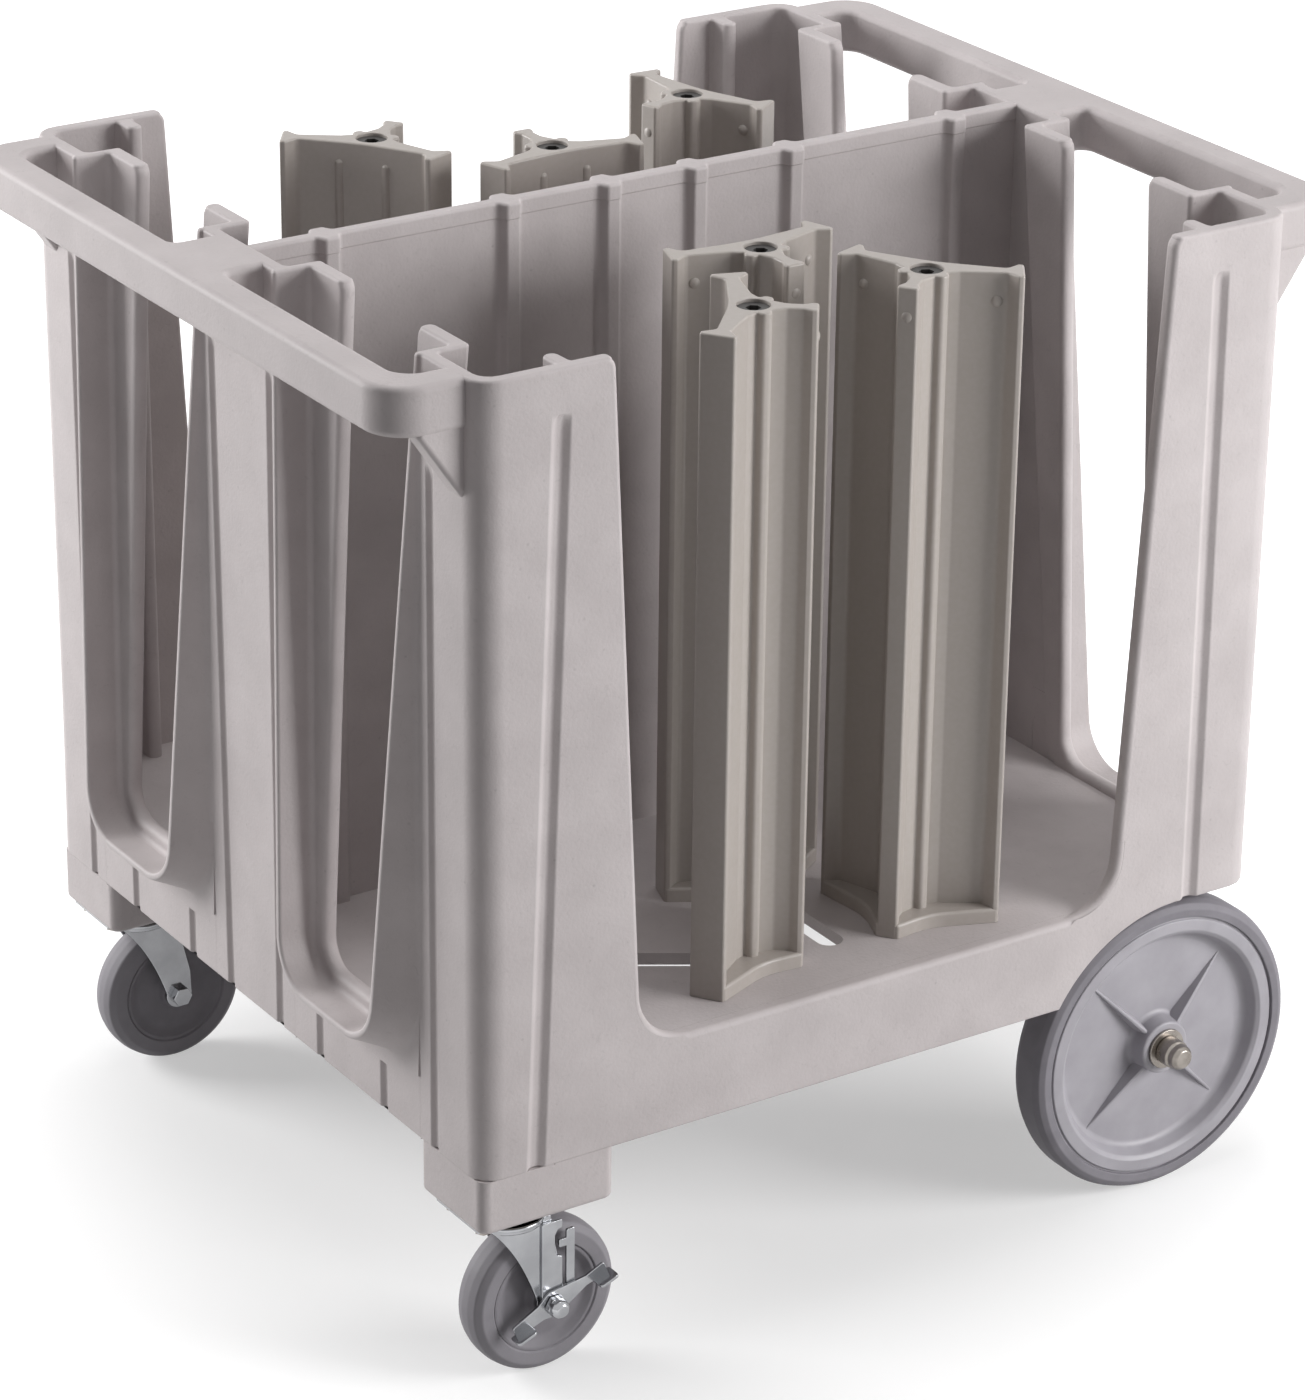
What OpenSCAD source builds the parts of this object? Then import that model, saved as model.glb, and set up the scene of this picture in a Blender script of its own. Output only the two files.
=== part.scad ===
// Dish caddy: a moulded open cart with six movable towers, two braked swivel casters in front
// and two large fixed wheels at the rear. Millimetres, +Z up. The origin is on the floor under
// the middle of the cart. +X runs from the caster end to the wheel end, +Y from the near side
// to the far side.

/* [Body] */
// Length of the moulded body between its end walls
body_l = 726; // [690:1:760]
// Width of the moulded body
body_w = 686; // [670:1:710]
// Height of the top rims above the floor
top_z = 824; // [780:1:860]
// Height of the deck that the dishes stand on
deck_z = 272; // [266:1:290]
// Height of the bottom edge of the side skirts
skirt_z = 195; // [185:1:205]
// Thickness of the outer walls
wall_t = 12; // [9:0.5:14]
// Thickness of the deck plate
deck_t = 10; // [7:0.5:12]
// Rounding of the four vertical outer corners
corner_r = 14; // [8:1:20]
// Thickness of the stiffening ribs under the deck
under_rib_t = 8; // [5:0.5:10]
// Depth of the stiffening ribs under the deck
under_rib_h = 26; // [15:1:40]
// Distance of the rear stiffening rib from the rear end face
rear_rib_at = 150; // [130:1:170]
// Distance of the front stiffening rib from the front end face
front_rib_at = 138; // [132:1:160]

/* [Side openings] */
// Length of a side panel between the end face and the opening, at the top
post_top_l = 115; // [107:1:138]
// Length of a side panel between the end face and the opening, near the deck
post_low_l = 140; // [128:1:163]
// Rounding of the lower corners of the side openings
side_open_r = 45; // [20:1:60]

/* [End slots] */
// Distance of each end slot from the middle of the cart
slot_y = 160; // [155:1:165]
// Half width of an end slot at the top rim
slot_half_top = 102; // [90:1:104]
// Half width of an end slot near its bottom
slot_half_low = 68; // [60:1:80]
// Rounding of the lower corners of the end slots
slot_r = 38; // [25:1:45]
// How far the slot frame stands proud of the end wall at the top
lip_proud_top = 2; // [1:0.5:6]
// How far the slot frame stands proud of the end wall at the deck
lip_proud_low = 29; // [24:0.5:32]
// Depth of the channel between the outer lip and the inner flange
channel_d = 30; // [24:1:34]
// Thickness of the channel wall round the slot
frame_t = 7; // [5:0.5:9]
// Thickness of the inner flange
flange_t = 13; // [9:0.5:15]
// Width of the inner flange at the top rim
flange_w_top = 50; // [36:1:54]
// Width of the inner flange at the bottom
flange_w_low = 16; // [10:1:22]

/* [Handles] */
// Distance from the end wall to the outer face of the handle rail
handle_reach = 63; // [56:1:70]
// Width of the handle rail, seen from above
handle_w = 30; // [24:1:34]
// Height of the handle rail
handle_h = 38; // [28:1:46]
// Distance of the handle's ends from the side faces
handle_inset = 17; // [14:1:28]
// Outer corner rounding of the handle rail
handle_r = 46; // [34:1:56]
// Half width of the web between the handle and the centre post
web_half = 40; // [30:1:50]
// Height of the gusset under each end of the handle
gusset_h = 52; // [40:1:60]
// Height of the outer grooves' ends below the top rim
groove_stop = 84; // [60:1:110]
// Distance of the corner grooves from the slot's edge
groove_out = 14; // [11:1:18]
// Distance of the inner grooves from the slot's lower edge
groove_in = 36; // [30:1:44]

/* [Divider] */
// Thickness of the centre divider
divider_t = 12; // [8:0.5:16]
// Width of a rib on the divider
divider_rib_w = 14; // [8:1:18]
// How far a rib stands out from the divider
divider_rib_h = 8; // [5:0.5:12]
// Distance of the inner ribs from the middle
rib_x1 = 40; // [34:1:60]
// Distance of the middle ribs from the middle
rib_x2 = 131; // [110:1:150]
// Distance of the outer ribs from the middle
rib_x3 = 289; // [270:1:295]

/* [Towers] */
// Height of a tower above the deck
tower_h = 535; // [500:1:548]
// Reach of the two long arms of a tower
arm_long = 73; // [68:0.5:76]
// Reach of the short arm of a tower
arm_short = 48; // [44:0.5:52]
// Angle of each long arm from the tower's axis
arm_angle = 72; // [66:1:76]
// Thickness of an arm
arm_t = 11; // [8:0.5:13]
// Width of the flared end of a long arm
tip_w_long = 30; // [24:1:34]
// Width of the flared end of the short arm
tip_w_short = 19; // [14:1:24]
// Thickness of the flared ends
tip_t = 8; // [6:0.5:10]
// Radius of the hollow curves between the arms
tower_fill = 28; // [18:1:34]
// Radius of the hollow edges of the foot
foot_fill = 50; // [40:1:60]
// Radius of the core round the clamp rod
core_r = 19; // [17:0.5:22]
// Height of the foot flange of a tower
foot_h = 12; // [8:1:16]
// Width of the slots in the deck
deck_slot_w = 22; // [16:1:26]
// Distance of a straight deck slot's inner end from the middle
straight_from = 92; // [84:1:100]
// Distance of a straight deck slot's outer end from the middle
straight_to = 268; // [256:1:272]
// Place of a slanted deck slot's outer end along the cart
slant_x0 = 66; // [60:1:72]
// Place of a slanted deck slot's outer end across the cart
slant_y0 = 268; // [256:1:272]
// Place of a slanted deck slot's inner end along the cart
slant_x1 = 186; // [170:1:192]
// Place of a slanted deck slot's inner end across the cart
slant_y1 = 194; // [184:1:204]
// Distance of tower 1 from the inner end of its straight slot
tower_1_run = 63; // [50:1:75]
// Distance of towers 2 and 3 from the outer end of their slanted slots
tower_2_run = 14; // [6:1:60]
// Distance of tower 4 from the outer end of its slanted slot
tower_4_run = 59; // [20:1:100]
// How far tower 4 stands off the middle of its slot
tower_4_off = 4.6; // [0:0.1:4.8]
// Distance of tower 5 from the inner end of its straight slot
tower_5_run = 50; // [40:1:68]
// Distance of tower 6 from the outer end of its slanted slot
tower_6_run = 122; // [60:1:134]
// Diameter of the clamp rod
rod_d = 12; // [8:0.5:14]
// Diameter of the head of the clamp rod
rod_head_d = 25; // [20:0.5:27]
// Height of the head of the clamp rod
rod_head_h = 9; // [6:0.5:12]
// Length of the clamp plate under the deck
plate_l = 44; // [36:1:48]
// Thickness of the clamp plate
plate_t = 8; // [5:0.5:10]

/* [Rear wheels] */
// Diameter of the large rear wheels
wheel_d = 254; // [240:1:262]
// Width of the rear tyre
tyre_w = 36; // [30:1:40]
// Radius at which the tyre meets the disc
disc_r = 113; // [108:0.5:116]
// Radial width of the raised rim of the disc
disc_rim_w = 13; // [9:0.5:18]
// Thickness of the disc web
disc_web_t = 7; // [5:0.5:10]
// Radius of the hub
hub_r = 24; // [21:0.5:28]
// Length of the hub
hub_l = 40; // [36:1:44]
// Distance of the rear axle from the rear end face
axle_from_end = 75; // [67:1:85]
// How far the rear tyres stay inside the side faces
wheel_inset = 8; // [4:1:12]
// Diameter of the rear axle
axle_d = 16; // [12:0.5:18]
// Length of a cap nut on the rear axle
nut_l = 22; // [18:1:30]
// Radius of a cap nut
nut_r = 12; // [11:0.5:14]
// Thickness of a hub washer
washer_t = 2.6; // [1.5:0.1:3]
// Radius of a hub washer
washer_r = 17; // [14:0.5:20]
// Thickness of an axle hanger
hanger_t = 22; // [16:1:26]
// Length of an axle hanger at the deck
hanger_l = 124; // [100:1:140]
// Thickness of a cap nut beyond the end of the axle
nut_roof = 4; // [3:0.5:6]
// Clearance of the wheel arch round the tyre
arch_gap = 7; // [5:0.5:10]

/* [Casters] */
// Diameter of the caster wheels
caster_d = 127; // [120:1:130]
// Width of the caster tread
caster_w = 32; // [26:1:34]
// Distance of the swivel axes from the front end face
caster_from_end = 49; // [45:1:57]
// Distance of the swivel axes from the side faces
caster_from_side = 44; // [41:1:49]
// Distance from the swivel axis to the wheel axis
trail = 26; // [22:1:32]
// Length of a caster block along the cart
block_l = 118; // [108:1:128]
// Width of a caster block across the cart
block_w = 91; // [88:1:100]
// Height of the bottom face of the caster blocks
block_z = 150; // [149:1:154]
// How far the caster blocks stay inside the body's faces
block_inset = 2; // [1:0.5:4]
// Rounding of the upright edges of the caster blocks
block_r = 8; // [5:1:12]
// Thickness of the solid floor of a caster block
block_floor = 30; // [24:1:36]
// Thickness of the mounting plate of a caster
cplate_t = 3; // [2:0.5:4]
// Thickness of the fork metal
fork_t = 3; // [2.5:0.5:4]
// Diameter of the caster axle bolt
caster_axle_d = 10; // [8:0.5:12]
// Radius of the bearing race above the fork
race_r = 26; // [22:0.5:27]
// Diameter of the kingpin that the fork turns on
kingpin_d = 12; // [10:0.5:14]
// Length of the mounting plate of a caster
cplate_l = 86; // [82:1:88]
// Width of the mounting plate of a caster
cplate_w = 60; // [56:1:62]
// Diameter of the caster bolts
bolt_d = 8; // [6:0.5:9]
// Height of the heads of the caster bolts and of the kingpin
bolt_head_h = 5; // [4:0.5:6]
// Height of the bearing race
race_h = 7; // [6:0.5:9]
// Free width between the tread and each leg of the fork
fork_room = 3; // [2:0.5:4]
// Radius of the fork's legs round the axle
fork_end_r = 12; // [10:0.5:15]
// Radial depth of the caster tread
tread_t = 18; // [14:1:22]
// Width of the strap beside the fork
strap_w = 18; // [15:0.5:22]
// Thickness of the strap
strap_t = 2.4; // [2:0.1:3]
// Thickness of the brake lever
lever_t = 2.6; // [2:0.1:3.5]
// Reach of the brake lever's longer foot tab
lever_long = 50; // [44:1:56]
// Reach of the brake lever's shorter foot tab
lever_short = 38; // [32:1:44]

/* [Clearances] */
// Radial running clearance of shafts in their bores
run_gap = 0.08; // [0.04:0.01:0.1]
// Gap between parts that slide or turn past each other
slip_gap = 0.3; // [0.2:0.05:0.5]
// Gap between flat faces that turn past each other
face_gap = 0.2; // [0.1:0.05:0.4]

/* [Hidden] */
half_l = body_l / 2;
half_w = body_w / 2;
far_out = 2 * body_l;
side_open_top = half_l - post_top_l;
side_open_low = half_l - post_low_l;
handle_half = half_w - handle_inset;
deck_low_z = deck_z - deck_t;
skirt_split = half_l - max(corner_r, wall_t + 2);
slot_low_z = deck_z - 4;
slot_span = top_z - slot_low_z;
lip_tilt = atan((lip_proud_low - lip_proud_top) / slot_span);
frame_d = channel_d + flange_t;
tower_low_z = deck_z + slip_gap;
tower_top_z = deck_z + tower_h;
wheel_r = wheel_d / 2;
wheel_y = half_w - wheel_inset - tyre_w / 2;
axle_x = half_l - axle_from_end;
hub_in_y = wheel_y - hub_l / 2;
hub_out_y = wheel_y + hub_l / 2;
washer_room = washer_t + 2 * face_gap;
axle_span = 2 * (hub_out_y + washer_room + nut_l);
arch_r = wheel_r + arch_gap;
arch_in = tyre_w + 24;
caster_r = caster_d / 2;
caster_x = half_l - caster_from_end;
caster_y = half_w - caster_from_side;
block_x = half_l - block_inset - block_l / 2;
block_y = half_w - block_inset - block_w / 2;
plate_z = block_z - cplate_t;
fork_top_z = plate_z - race_h;
fork_half = caster_w / 2 + fork_room;
caster_core_r = caster_r - tread_t;
bolt_l = block_floor - 4;
caster_bolt_at = [
    for (sx = [-1, 1], sy = [-1, 1]) [sx * (cplate_l / 2 - 10), sy * (cplate_w / 2 - 9)]];
groove_w = 6;
short_groove_in = 46;
short_groove_out = 40;
short_groove_top = 32;
// Point on a slanted deck slot, run from its outer end and off to one side of its middle
slant_l = norm([slant_x1 - slant_x0, slant_y1 - slant_y0]);
slant_u = [slant_x1 - slant_x0, slant_y1 - slant_y0] / slant_l;
function on_slant(run, off = 0) = [slant_x0 + run * slant_u[0] + off * slant_u[1],
                                   slant_y0 + run * slant_u[1] - off * slant_u[0]];
place_2 = on_slant(tower_2_run);
place_4 = on_slant(tower_4_run, tower_4_off);
place_6 = on_slant(tower_6_run);
// Rest places of the towers: x, y, turn of the tower's axis
tower_at = [
    [0, -straight_from - tower_1_run, 90], [-place_2[0], -place_2[1], 143],
    [place_2[0], -place_2[1], 37], [-place_4[0], place_4[1], -143],
    [0, straight_from + tower_5_run, -90], [place_6[0], place_6[1], 15]];

// Plan outline of the body, inset by d
module body_plan(d) {
    r = corner_r - min(d, corner_r - 2);
    hull() for (sx = [-1, 1], sy = [-1, 1])
        translate([sx * (half_l - d - r), sy * (half_w - d - r)]) circle(r = r, $fn = 32);
}

// Outline of a side opening, in length and height, open at the top
module side_opening_outline() {
    hull() {
        for (s = [-1, 1])
            translate([s * (side_open_low - side_open_r), deck_z + side_open_r])
                circle(r = side_open_r, $fn = 48);
        translate([-side_open_top, top_z]) square([2 * side_open_top, 1]);
    }
}

// Both side openings, cut through the long walls
module side_opening_void() {
    rotate([90, 0, 0]) linear_extrude(2 * half_w + 20, center = true) side_opening_outline();
}

// Outline of one end slot, in width and height above its bottom, grown by d
module slot_outline(d, low_half = slot_half_low, top_half = slot_half_top, lift = 0) {
    r = slot_r + d;
    hull() {
        for (s = [-1, 1])
            translate([s * (low_half - slot_r), slot_r + lift]) circle(r = r, $fn = 40);
        translate([-top_half - d, slot_span + 30]) square([2 * (top_half + d), 1]);
    }
}

// Puts a solid drawn on the slot's own axes into the front end wall: its x is the width of the
// slot, its y the height above the slot bottom, and its z the depth from the outer lip inwards
module at_front_slot(y) {
    translate([-half_l - lip_proud_low, y, slot_low_z]) rotate([0, lip_tilt, 0])
        multmatrix([[0, 0, 1, 0], [1, 0, 0, 0], [0, 1, 0, 0], [0, 0, 0, 1]]) children();
}

// The space that one slot frame takes, from the outer lip to the back of its flange
module slot_frame_space(y) {
    at_front_slot(y) translate([0, 0, -20]) linear_extrude(frame_d + 20) slot_outline(frame_t);
}

// One slot frame: a channel that runs down one side, across and up the other, with a flange
module slot_frame(y) {
    flange_low = slot_half_low - flange_w_low;
    flange_top = slot_half_top - flange_w_top;
    at_front_slot(y) difference() {
        linear_extrude(frame_d) slot_outline(frame_t);
        translate([0, 0, -1]) linear_extrude(channel_d + 1) slot_outline(0);
        translate([0, 0, channel_d - 1]) linear_extrude(flange_t + 2)
            hull() {
                for (s = [-1, 1])
                    translate([s * (flange_low - 22), 22 + 12]) circle(r = 22, $fn = 32);
                translate([-flange_top, slot_span + 31]) square([2 * flange_top, 1]);
            }
    }
}

// Keeps what lies between two widths across the front end wall, above the deck's underside
module front_band(y0, y1, z0) {
    intersection() {
        children();
        translate([-far_out, y0, z0]) cube([far_out, y1 - y0, top_z - z0]);
    }
}

// Shallow upright groove in the front end wall, sunk from the outer face
module end_groove(y, z0, z1) {
    translate([-half_l, y, z0]) cylinder(d = groove_w, h = z1 - z0, $fn = 6);
}

// Shallow upright groove in the near side wall
module side_groove(x, z0, z1) {
    translate([x, -half_w, z0]) cylinder(d = groove_w, h = z1 - z0, $fn = 6);
}

// Front near corner: end wall panel, side panel and the outer half of the slot frame
module corner_post() {
    color([0.80, 0.77, 0.76]) difference() {
        union() {
            difference() {
                translate([0, 0, deck_z]) linear_extrude(top_z - deck_z) intersection() {
                    difference() {
                        body_plan(0);
                        body_plan(wall_t);
                    }
                    translate([-far_out, -far_out]) square([far_out, far_out - slot_y]);
                }
                side_opening_void();
                slot_frame_space(-slot_y);
            }
            front_band(-half_w, -slot_y, 0) slot_frame(-slot_y);
        }
        end_groove(-slot_y - slot_half_top - groove_out, deck_z - 1, top_z - groove_stop);
        side_groove(-side_open_top - 48, deck_z - 1, top_z - 36);
    }
}

// Front centre post: the panel between the slots with the inner half of both slot frames
module centre_post() {
    color([0.80, 0.77, 0.76]) difference() {
        union() {
            difference() {
                translate([-half_l, -slot_y, deck_z])
                    cube([wall_t, 2 * slot_y, top_z - deck_z]);
                for (s = [-1, 1]) slot_frame_space(s * slot_y);
            }
            for (s = [-1, 1])
                front_band(s > 0 ? 0 : -slot_y, s > 0 ? slot_y : 0, 0) slot_frame(s * slot_y);
        }
        for (s = [-1, 1])
            end_groove(s * (slot_y - slot_half_low - groove_in), deck_z - 1,
                       top_z - groove_stop);
    }
}

// Front handle rail: a bar across the end with rounded corners that return to the corner
// posts, and a web to the centre post
module handle_rail() {
    rail_x = half_l + handle_reach;
    color([0.80, 0.77, 0.76]) {
        translate([0, 0, top_z - handle_h]) linear_extrude(handle_h) difference() {
            union() {
                difference() {
                    hull() {
                        for (s = [-1, 1])
                            translate([-rail_x + handle_r, s * (handle_half - handle_r)])
                                circle(r = handle_r, $fn = 48);
                        translate([-half_l - 1, -handle_half]) square([1, 2 * handle_half]);
                    }
                    hull() {
                        r = handle_r - handle_w + 6;
                        for (s = [-1, 1])
                            translate([-rail_x + handle_w + r, s * (handle_half - handle_w - r)])
                                circle(r = r, $fn = 32);
                        translate([-half_l, -handle_half + handle_w])
                            square([2, 2 * (handle_half - handle_w)]);
                    }
                }
                translate([-rail_x + handle_w / 2, -web_half])
                    square([handle_reach - handle_w / 2, 2 * web_half]);
            }
            translate([-half_l, -far_out]) square([far_out, 2 * far_out]);
        }
        for (s = [-1, 1])
            translate([-half_l, s * (handle_half - handle_w / 2), top_z - handle_h])
                rotate([90, 0, 0]) linear_extrude(handle_w - 8, center = true)
                    polygon([[0, 0], [-handle_reach + handle_w, 0], [0, -gusset_h]]);
    }
}

// Straight and slanted deck slots for the tower rods
module deck_slots_outline() {
    for (s = [-1, 1]) {
        hull() for (y = [straight_from, straight_to])
            translate([0, s * y]) circle(d = deck_slot_w, $fn = 32);
        for (t = [-1, 1])
            hull() for (p = [[slant_x0, slant_y0], [slant_x1, slant_y1]])
                translate([t * p[0], s * p[1]]) circle(d = deck_slot_w, $fn = 32);
    }
}

// Deck plate with its slots, between the skirts
module deck_plate() {
    color([0.78, 0.75, 0.74]) difference() {
        translate([0, 0, deck_low_z]) linear_extrude(deck_t) difference() {
            body_plan(wall_t);
            deck_slots_outline();
        }
        all_slot_spaces();
    }
}

// Stiffening ribs under the deck: two across and one along the middle
module under_deck_ribs() {
    color([0.78, 0.75, 0.74]) difference() {
        translate([0, 0, deck_low_z - under_rib_h]) linear_extrude(under_rib_h) intersection() {
            body_plan(wall_t);
            union() {
                for (x = [front_rib_at - half_l, half_l - rear_rib_at])
                    translate([x, 0]) square([under_rib_t, 2 * half_w], center = true);
                square([2 * half_l, under_rib_t], center = true);
            }
        }
        for (s = [-1, 1]) wheel_arch(s);
        all_slot_spaces();
    }
}

// The whole skirt round the deck, with its wheel arches and grooves
module whole_skirt() {
    difference() {
        translate([0, 0, skirt_z]) linear_extrude(deck_z - skirt_z) difference() {
            body_plan(0);
            body_plan(wall_t);
        }
        all_slot_spaces();
        for (s = [-1, 1]) {
            wheel_arch(s);
            end_groove(s * (slot_y + slot_half_top + groove_out), skirt_z - 1, deck_z + 1);
            end_groove(s * (slot_y - slot_half_low - groove_in), skirt_z - 1, deck_z + 1);
            end_groove(s * (slot_y - short_groove_in), skirt_z - 1, deck_z - short_groove_top);
            end_groove(s * (slot_y + short_groove_out), skirt_z - 1, deck_z - short_groove_top);
        }
    }
}

// Skirt across the front end, with the sill of both slots
module end_skirt() {
    color([0.78, 0.75, 0.74]) intersection() {
        whole_skirt();
        translate([-far_out - skirt_split, -far_out, 0])
            cube([far_out, 2 * far_out, top_z]);
    }
}

// Skirt across the rear end, which ends above the wheels
module rear_end_skirt() {
    color([0.78, 0.75, 0.74]) intersection() {
        whole_skirt();
        translate([skirt_split, -far_out, 0]) cube([far_out, 2 * far_out, top_z]);
    }
}

// Skirt along the near side, with its wheel arch
module side_skirt() {
    color([0.78, 0.75, 0.74]) intersection() {
        whole_skirt();
        translate([-skirt_split, -far_out, 0]) cube([2 * skirt_split, far_out, top_z]);
    }
}

// The spaces of all four slot frames
module all_slot_spaces() {
    for (a = [0, 180], s = [-1, 1])
        rotate([0, 0, a]) slot_frame_space(s * slot_y);
}

// Wheel arch and the raised skirt behind it, cut into one side wall
module wheel_arch(s) {
    translate([axle_x, s * half_w, wheel_r]) rotate([90, 0, 0])
        cylinder(r = arch_r, h = 2 * arch_in, center = true, $fn = 96);
    translate([axle_x, s * half_w - arch_in, skirt_z - 1])
        cube([2 * axle_from_end, 2 * arch_in, deck_low_z - skirt_z + 1]);
}

// Divider along the middle, with ribs on both faces
module centre_divider() {
    x0 = half_l - wall_t;
    color([0.79, 0.76, 0.75]) translate([0, 0, deck_z]) linear_extrude(top_z - deck_z) {
        square([2 * x0, divider_t], center = true);
        for (x = [rib_x1, rib_x2, rib_x3], s = [-1, 1])
            translate([s * x, 0]) square(
                [divider_rib_w, divider_t + 2 * divider_rib_h], center = true);
    }
}

// Hollow block under a front corner that carries the caster
module caster_block() {
    h = deck_low_z - block_z;
    color([0.78, 0.75, 0.74]) difference() {
        translate([-block_x, -block_y, block_z]) union() {
            linear_extrude(skirt_z - block_z) offset(r = block_r) offset(r = -block_r)
                square([block_l, block_w], center = true);
            translate([0, 0, h / 2]) cube(
                [block_l - 2 * wall_t, block_w - 2 * wall_t, h], center = true);
        }
        translate([-block_x, -block_y, block_z + h / 2 + block_floor]) cube(
            [block_l - 4 * wall_t, block_w - 4 * wall_t, h], center = true);
        for (p = caster_bolt_at)
            translate([-caster_x + p[0], -caster_y + p[1], block_z - 1])
                cylinder(d = bolt_d + 2 * run_gap, h = bolt_l, $fn = 32);
    }
}

// Near bracket under the deck that holds the rear axle beside a wheel
module axle_hanger() {
    y = -hub_in_y + washer_room + hanger_t / 2;
    boss_r = axle_d / 2 + 14;
    color([0.76, 0.73, 0.72]) difference() {
        translate([axle_x, y, 0]) rotate([90, 0, 0]) linear_extrude(hanger_t, center = true)
            hull() {
                translate([0, wheel_r]) circle(r = boss_r, $fn = 40);
                translate([-hanger_l / 2, deck_low_z - 1]) square([hanger_l, 1]);
            }
        translate([axle_x, y, wheel_r]) rotate([90, 0, 0])
            cylinder(d = axle_d + 2 * run_gap, h = hanger_t + 2, center = true, $fn = 48);
    }
}

// Steel axle across the rear, with its ends inside the cap nuts
module rear_axle() {
    color([0.70, 0.69, 0.68]) translate([axle_x, 0, wheel_r]) rotate([90, 0, 0])
        cylinder(d = axle_d, h = axle_span - 2 * nut_roof, center = true, $fn = 48);
}

// Inner and outer washer of the near wheel
module wheel_washers() {
    for (y = [hub_in_y - washer_room + face_gap, hub_out_y + face_gap])
        color([0.72, 0.71, 0.70]) translate([axle_x, -y, wheel_r]) rotate([90, 0, 0])
            difference() {
                cylinder(r = washer_r, h = washer_t, $fn = 48);
                translate([0, 0, -1])
                    cylinder(d = axle_d + 2 * run_gap, h = washer_t + 2, $fn = 48);
            }
}

// Domed cap nut on the near end of the axle
module cap_nut() {
    y0 = hub_out_y + washer_room;
    r0 = axle_d / 2 + run_gap;
    floor_z = nut_l - nut_roof + 0.4;
    color([0.70, 0.68, 0.66]) translate([axle_x, -y0, wheel_r]) rotate([90, 0, 0])
        rotate_extrude($fn = 48) polygon([
            [r0, 0], [nut_r, 0], [nut_r, nut_l * 0.55], [nut_r * 0.88, nut_l * 0.72],
            [nut_r * 0.8, nut_l * 0.95], [nut_r * 0.72, nut_l], [0, nut_l],
            [0, floor_z], [r0, floor_z]]);
}

// Moulded disc of a rear wheel with its hub and four ribs
module wheel_disc() {
    bore = axle_d / 2 + run_gap;
    half = tyre_w / 2 - 1;
    rim_in = disc_r - disc_rim_w;
    color([0.62, 0.61, 0.64]) translate([axle_x, -wheel_y, wheel_r]) rotate([90, 0, 0])
        difference() {
            union() {
                rotate_extrude($fn = 96) polygon([
                    [bore, -hub_l / 2], [hub_r, -hub_l / 2], [hub_r + 2, -disc_web_t / 2],
                    [rim_in - 4, -disc_web_t / 2], [rim_in, -half], [disc_r, -half],
                    [disc_r, half], [rim_in, half], [rim_in - 4, disc_web_t / 2],
                    [hub_r + 2, disc_web_t / 2], [hub_r, hub_l / 2], [bore, hub_l / 2]]);
                for (a = [45 : 90 : 315]) rotate([90, 0, a]) linear_extrude(5, center = true)
                    polygon([[hub_r - 3, -half + 2], [rim_in - 20, -disc_web_t / 2 - 1],
                             [rim_in - 3, 0], [rim_in - 20, disc_web_t / 2 + 1],
                             [hub_r - 3, half - 2]]);
            }
            cylinder(r = bore, h = hub_l + 2, center = true, $fn = 96);
        }
}

// Rubber tyre round the disc
module wheel_tyre() {
    h = tyre_w / 2;
    color([0.47, 0.46, 0.48]) translate([axle_x, -wheel_y, wheel_r]) rotate([90, 0, 0])
        rotate_extrude($fn = 96) polygon([
            [disc_r, -h], [wheel_r - 6, -h], [wheel_r - 2, -h + 3], [wheel_r, -h + 9],
            [wheel_r, h - 9], [wheel_r - 2, h - 3], [wheel_r - 6, h], [disc_r, h]]);
}

// Mounting plate of a caster
module caster_plate() {
    color([0.75, 0.76, 0.78]) difference() {
        translate([-caster_x, -caster_y, plate_z + cplate_t / 2])
            cube([cplate_l, cplate_w, cplate_t], center = true);
        for (p = caster_bolt_at)
            translate([-caster_x + p[0], -caster_y + p[1], plate_z - 1])
                cylinder(d = bolt_d + 2 * run_gap, h = cplate_t + 2, $fn = 32);
    }
}

// Four bolts that hold the near plate to the block's floor
module plate_bolts() {
    for (p = caster_bolt_at)
        color([0.70, 0.70, 0.72]) translate([-caster_x + p[0], -caster_y + p[1], plate_z]) {
            translate([0, 0, -bolt_head_h])
                cylinder(d = 1.7 * bolt_d, h = bolt_head_h, $fn = 6);
            translate([0, 0, -1]) cylinder(d = bolt_d, h = bolt_l, $fn = 32);
        }
}

// Bearing race and kingpin under the plate
module caster_race() {
    head_h = bolt_head_h;
    color([0.72, 0.72, 0.74]) translate([-caster_x, -caster_y, fork_top_z]) {
        translate([0, 0, slip_gap])
            cylinder(r1 = race_r - 3, r2 = race_r, h = race_h - slip_gap, $fn = 64);
        translate([0, 0, -fork_t - head_h])
            cylinder(d = kingpin_d, h = fork_t + head_h + 1, $fn = 48);
        translate([0, 0, -fork_t - slip_gap - head_h])
            cylinder(d = kingpin_d + 8, h = head_h, $fn = 48);
    }
}

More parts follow.
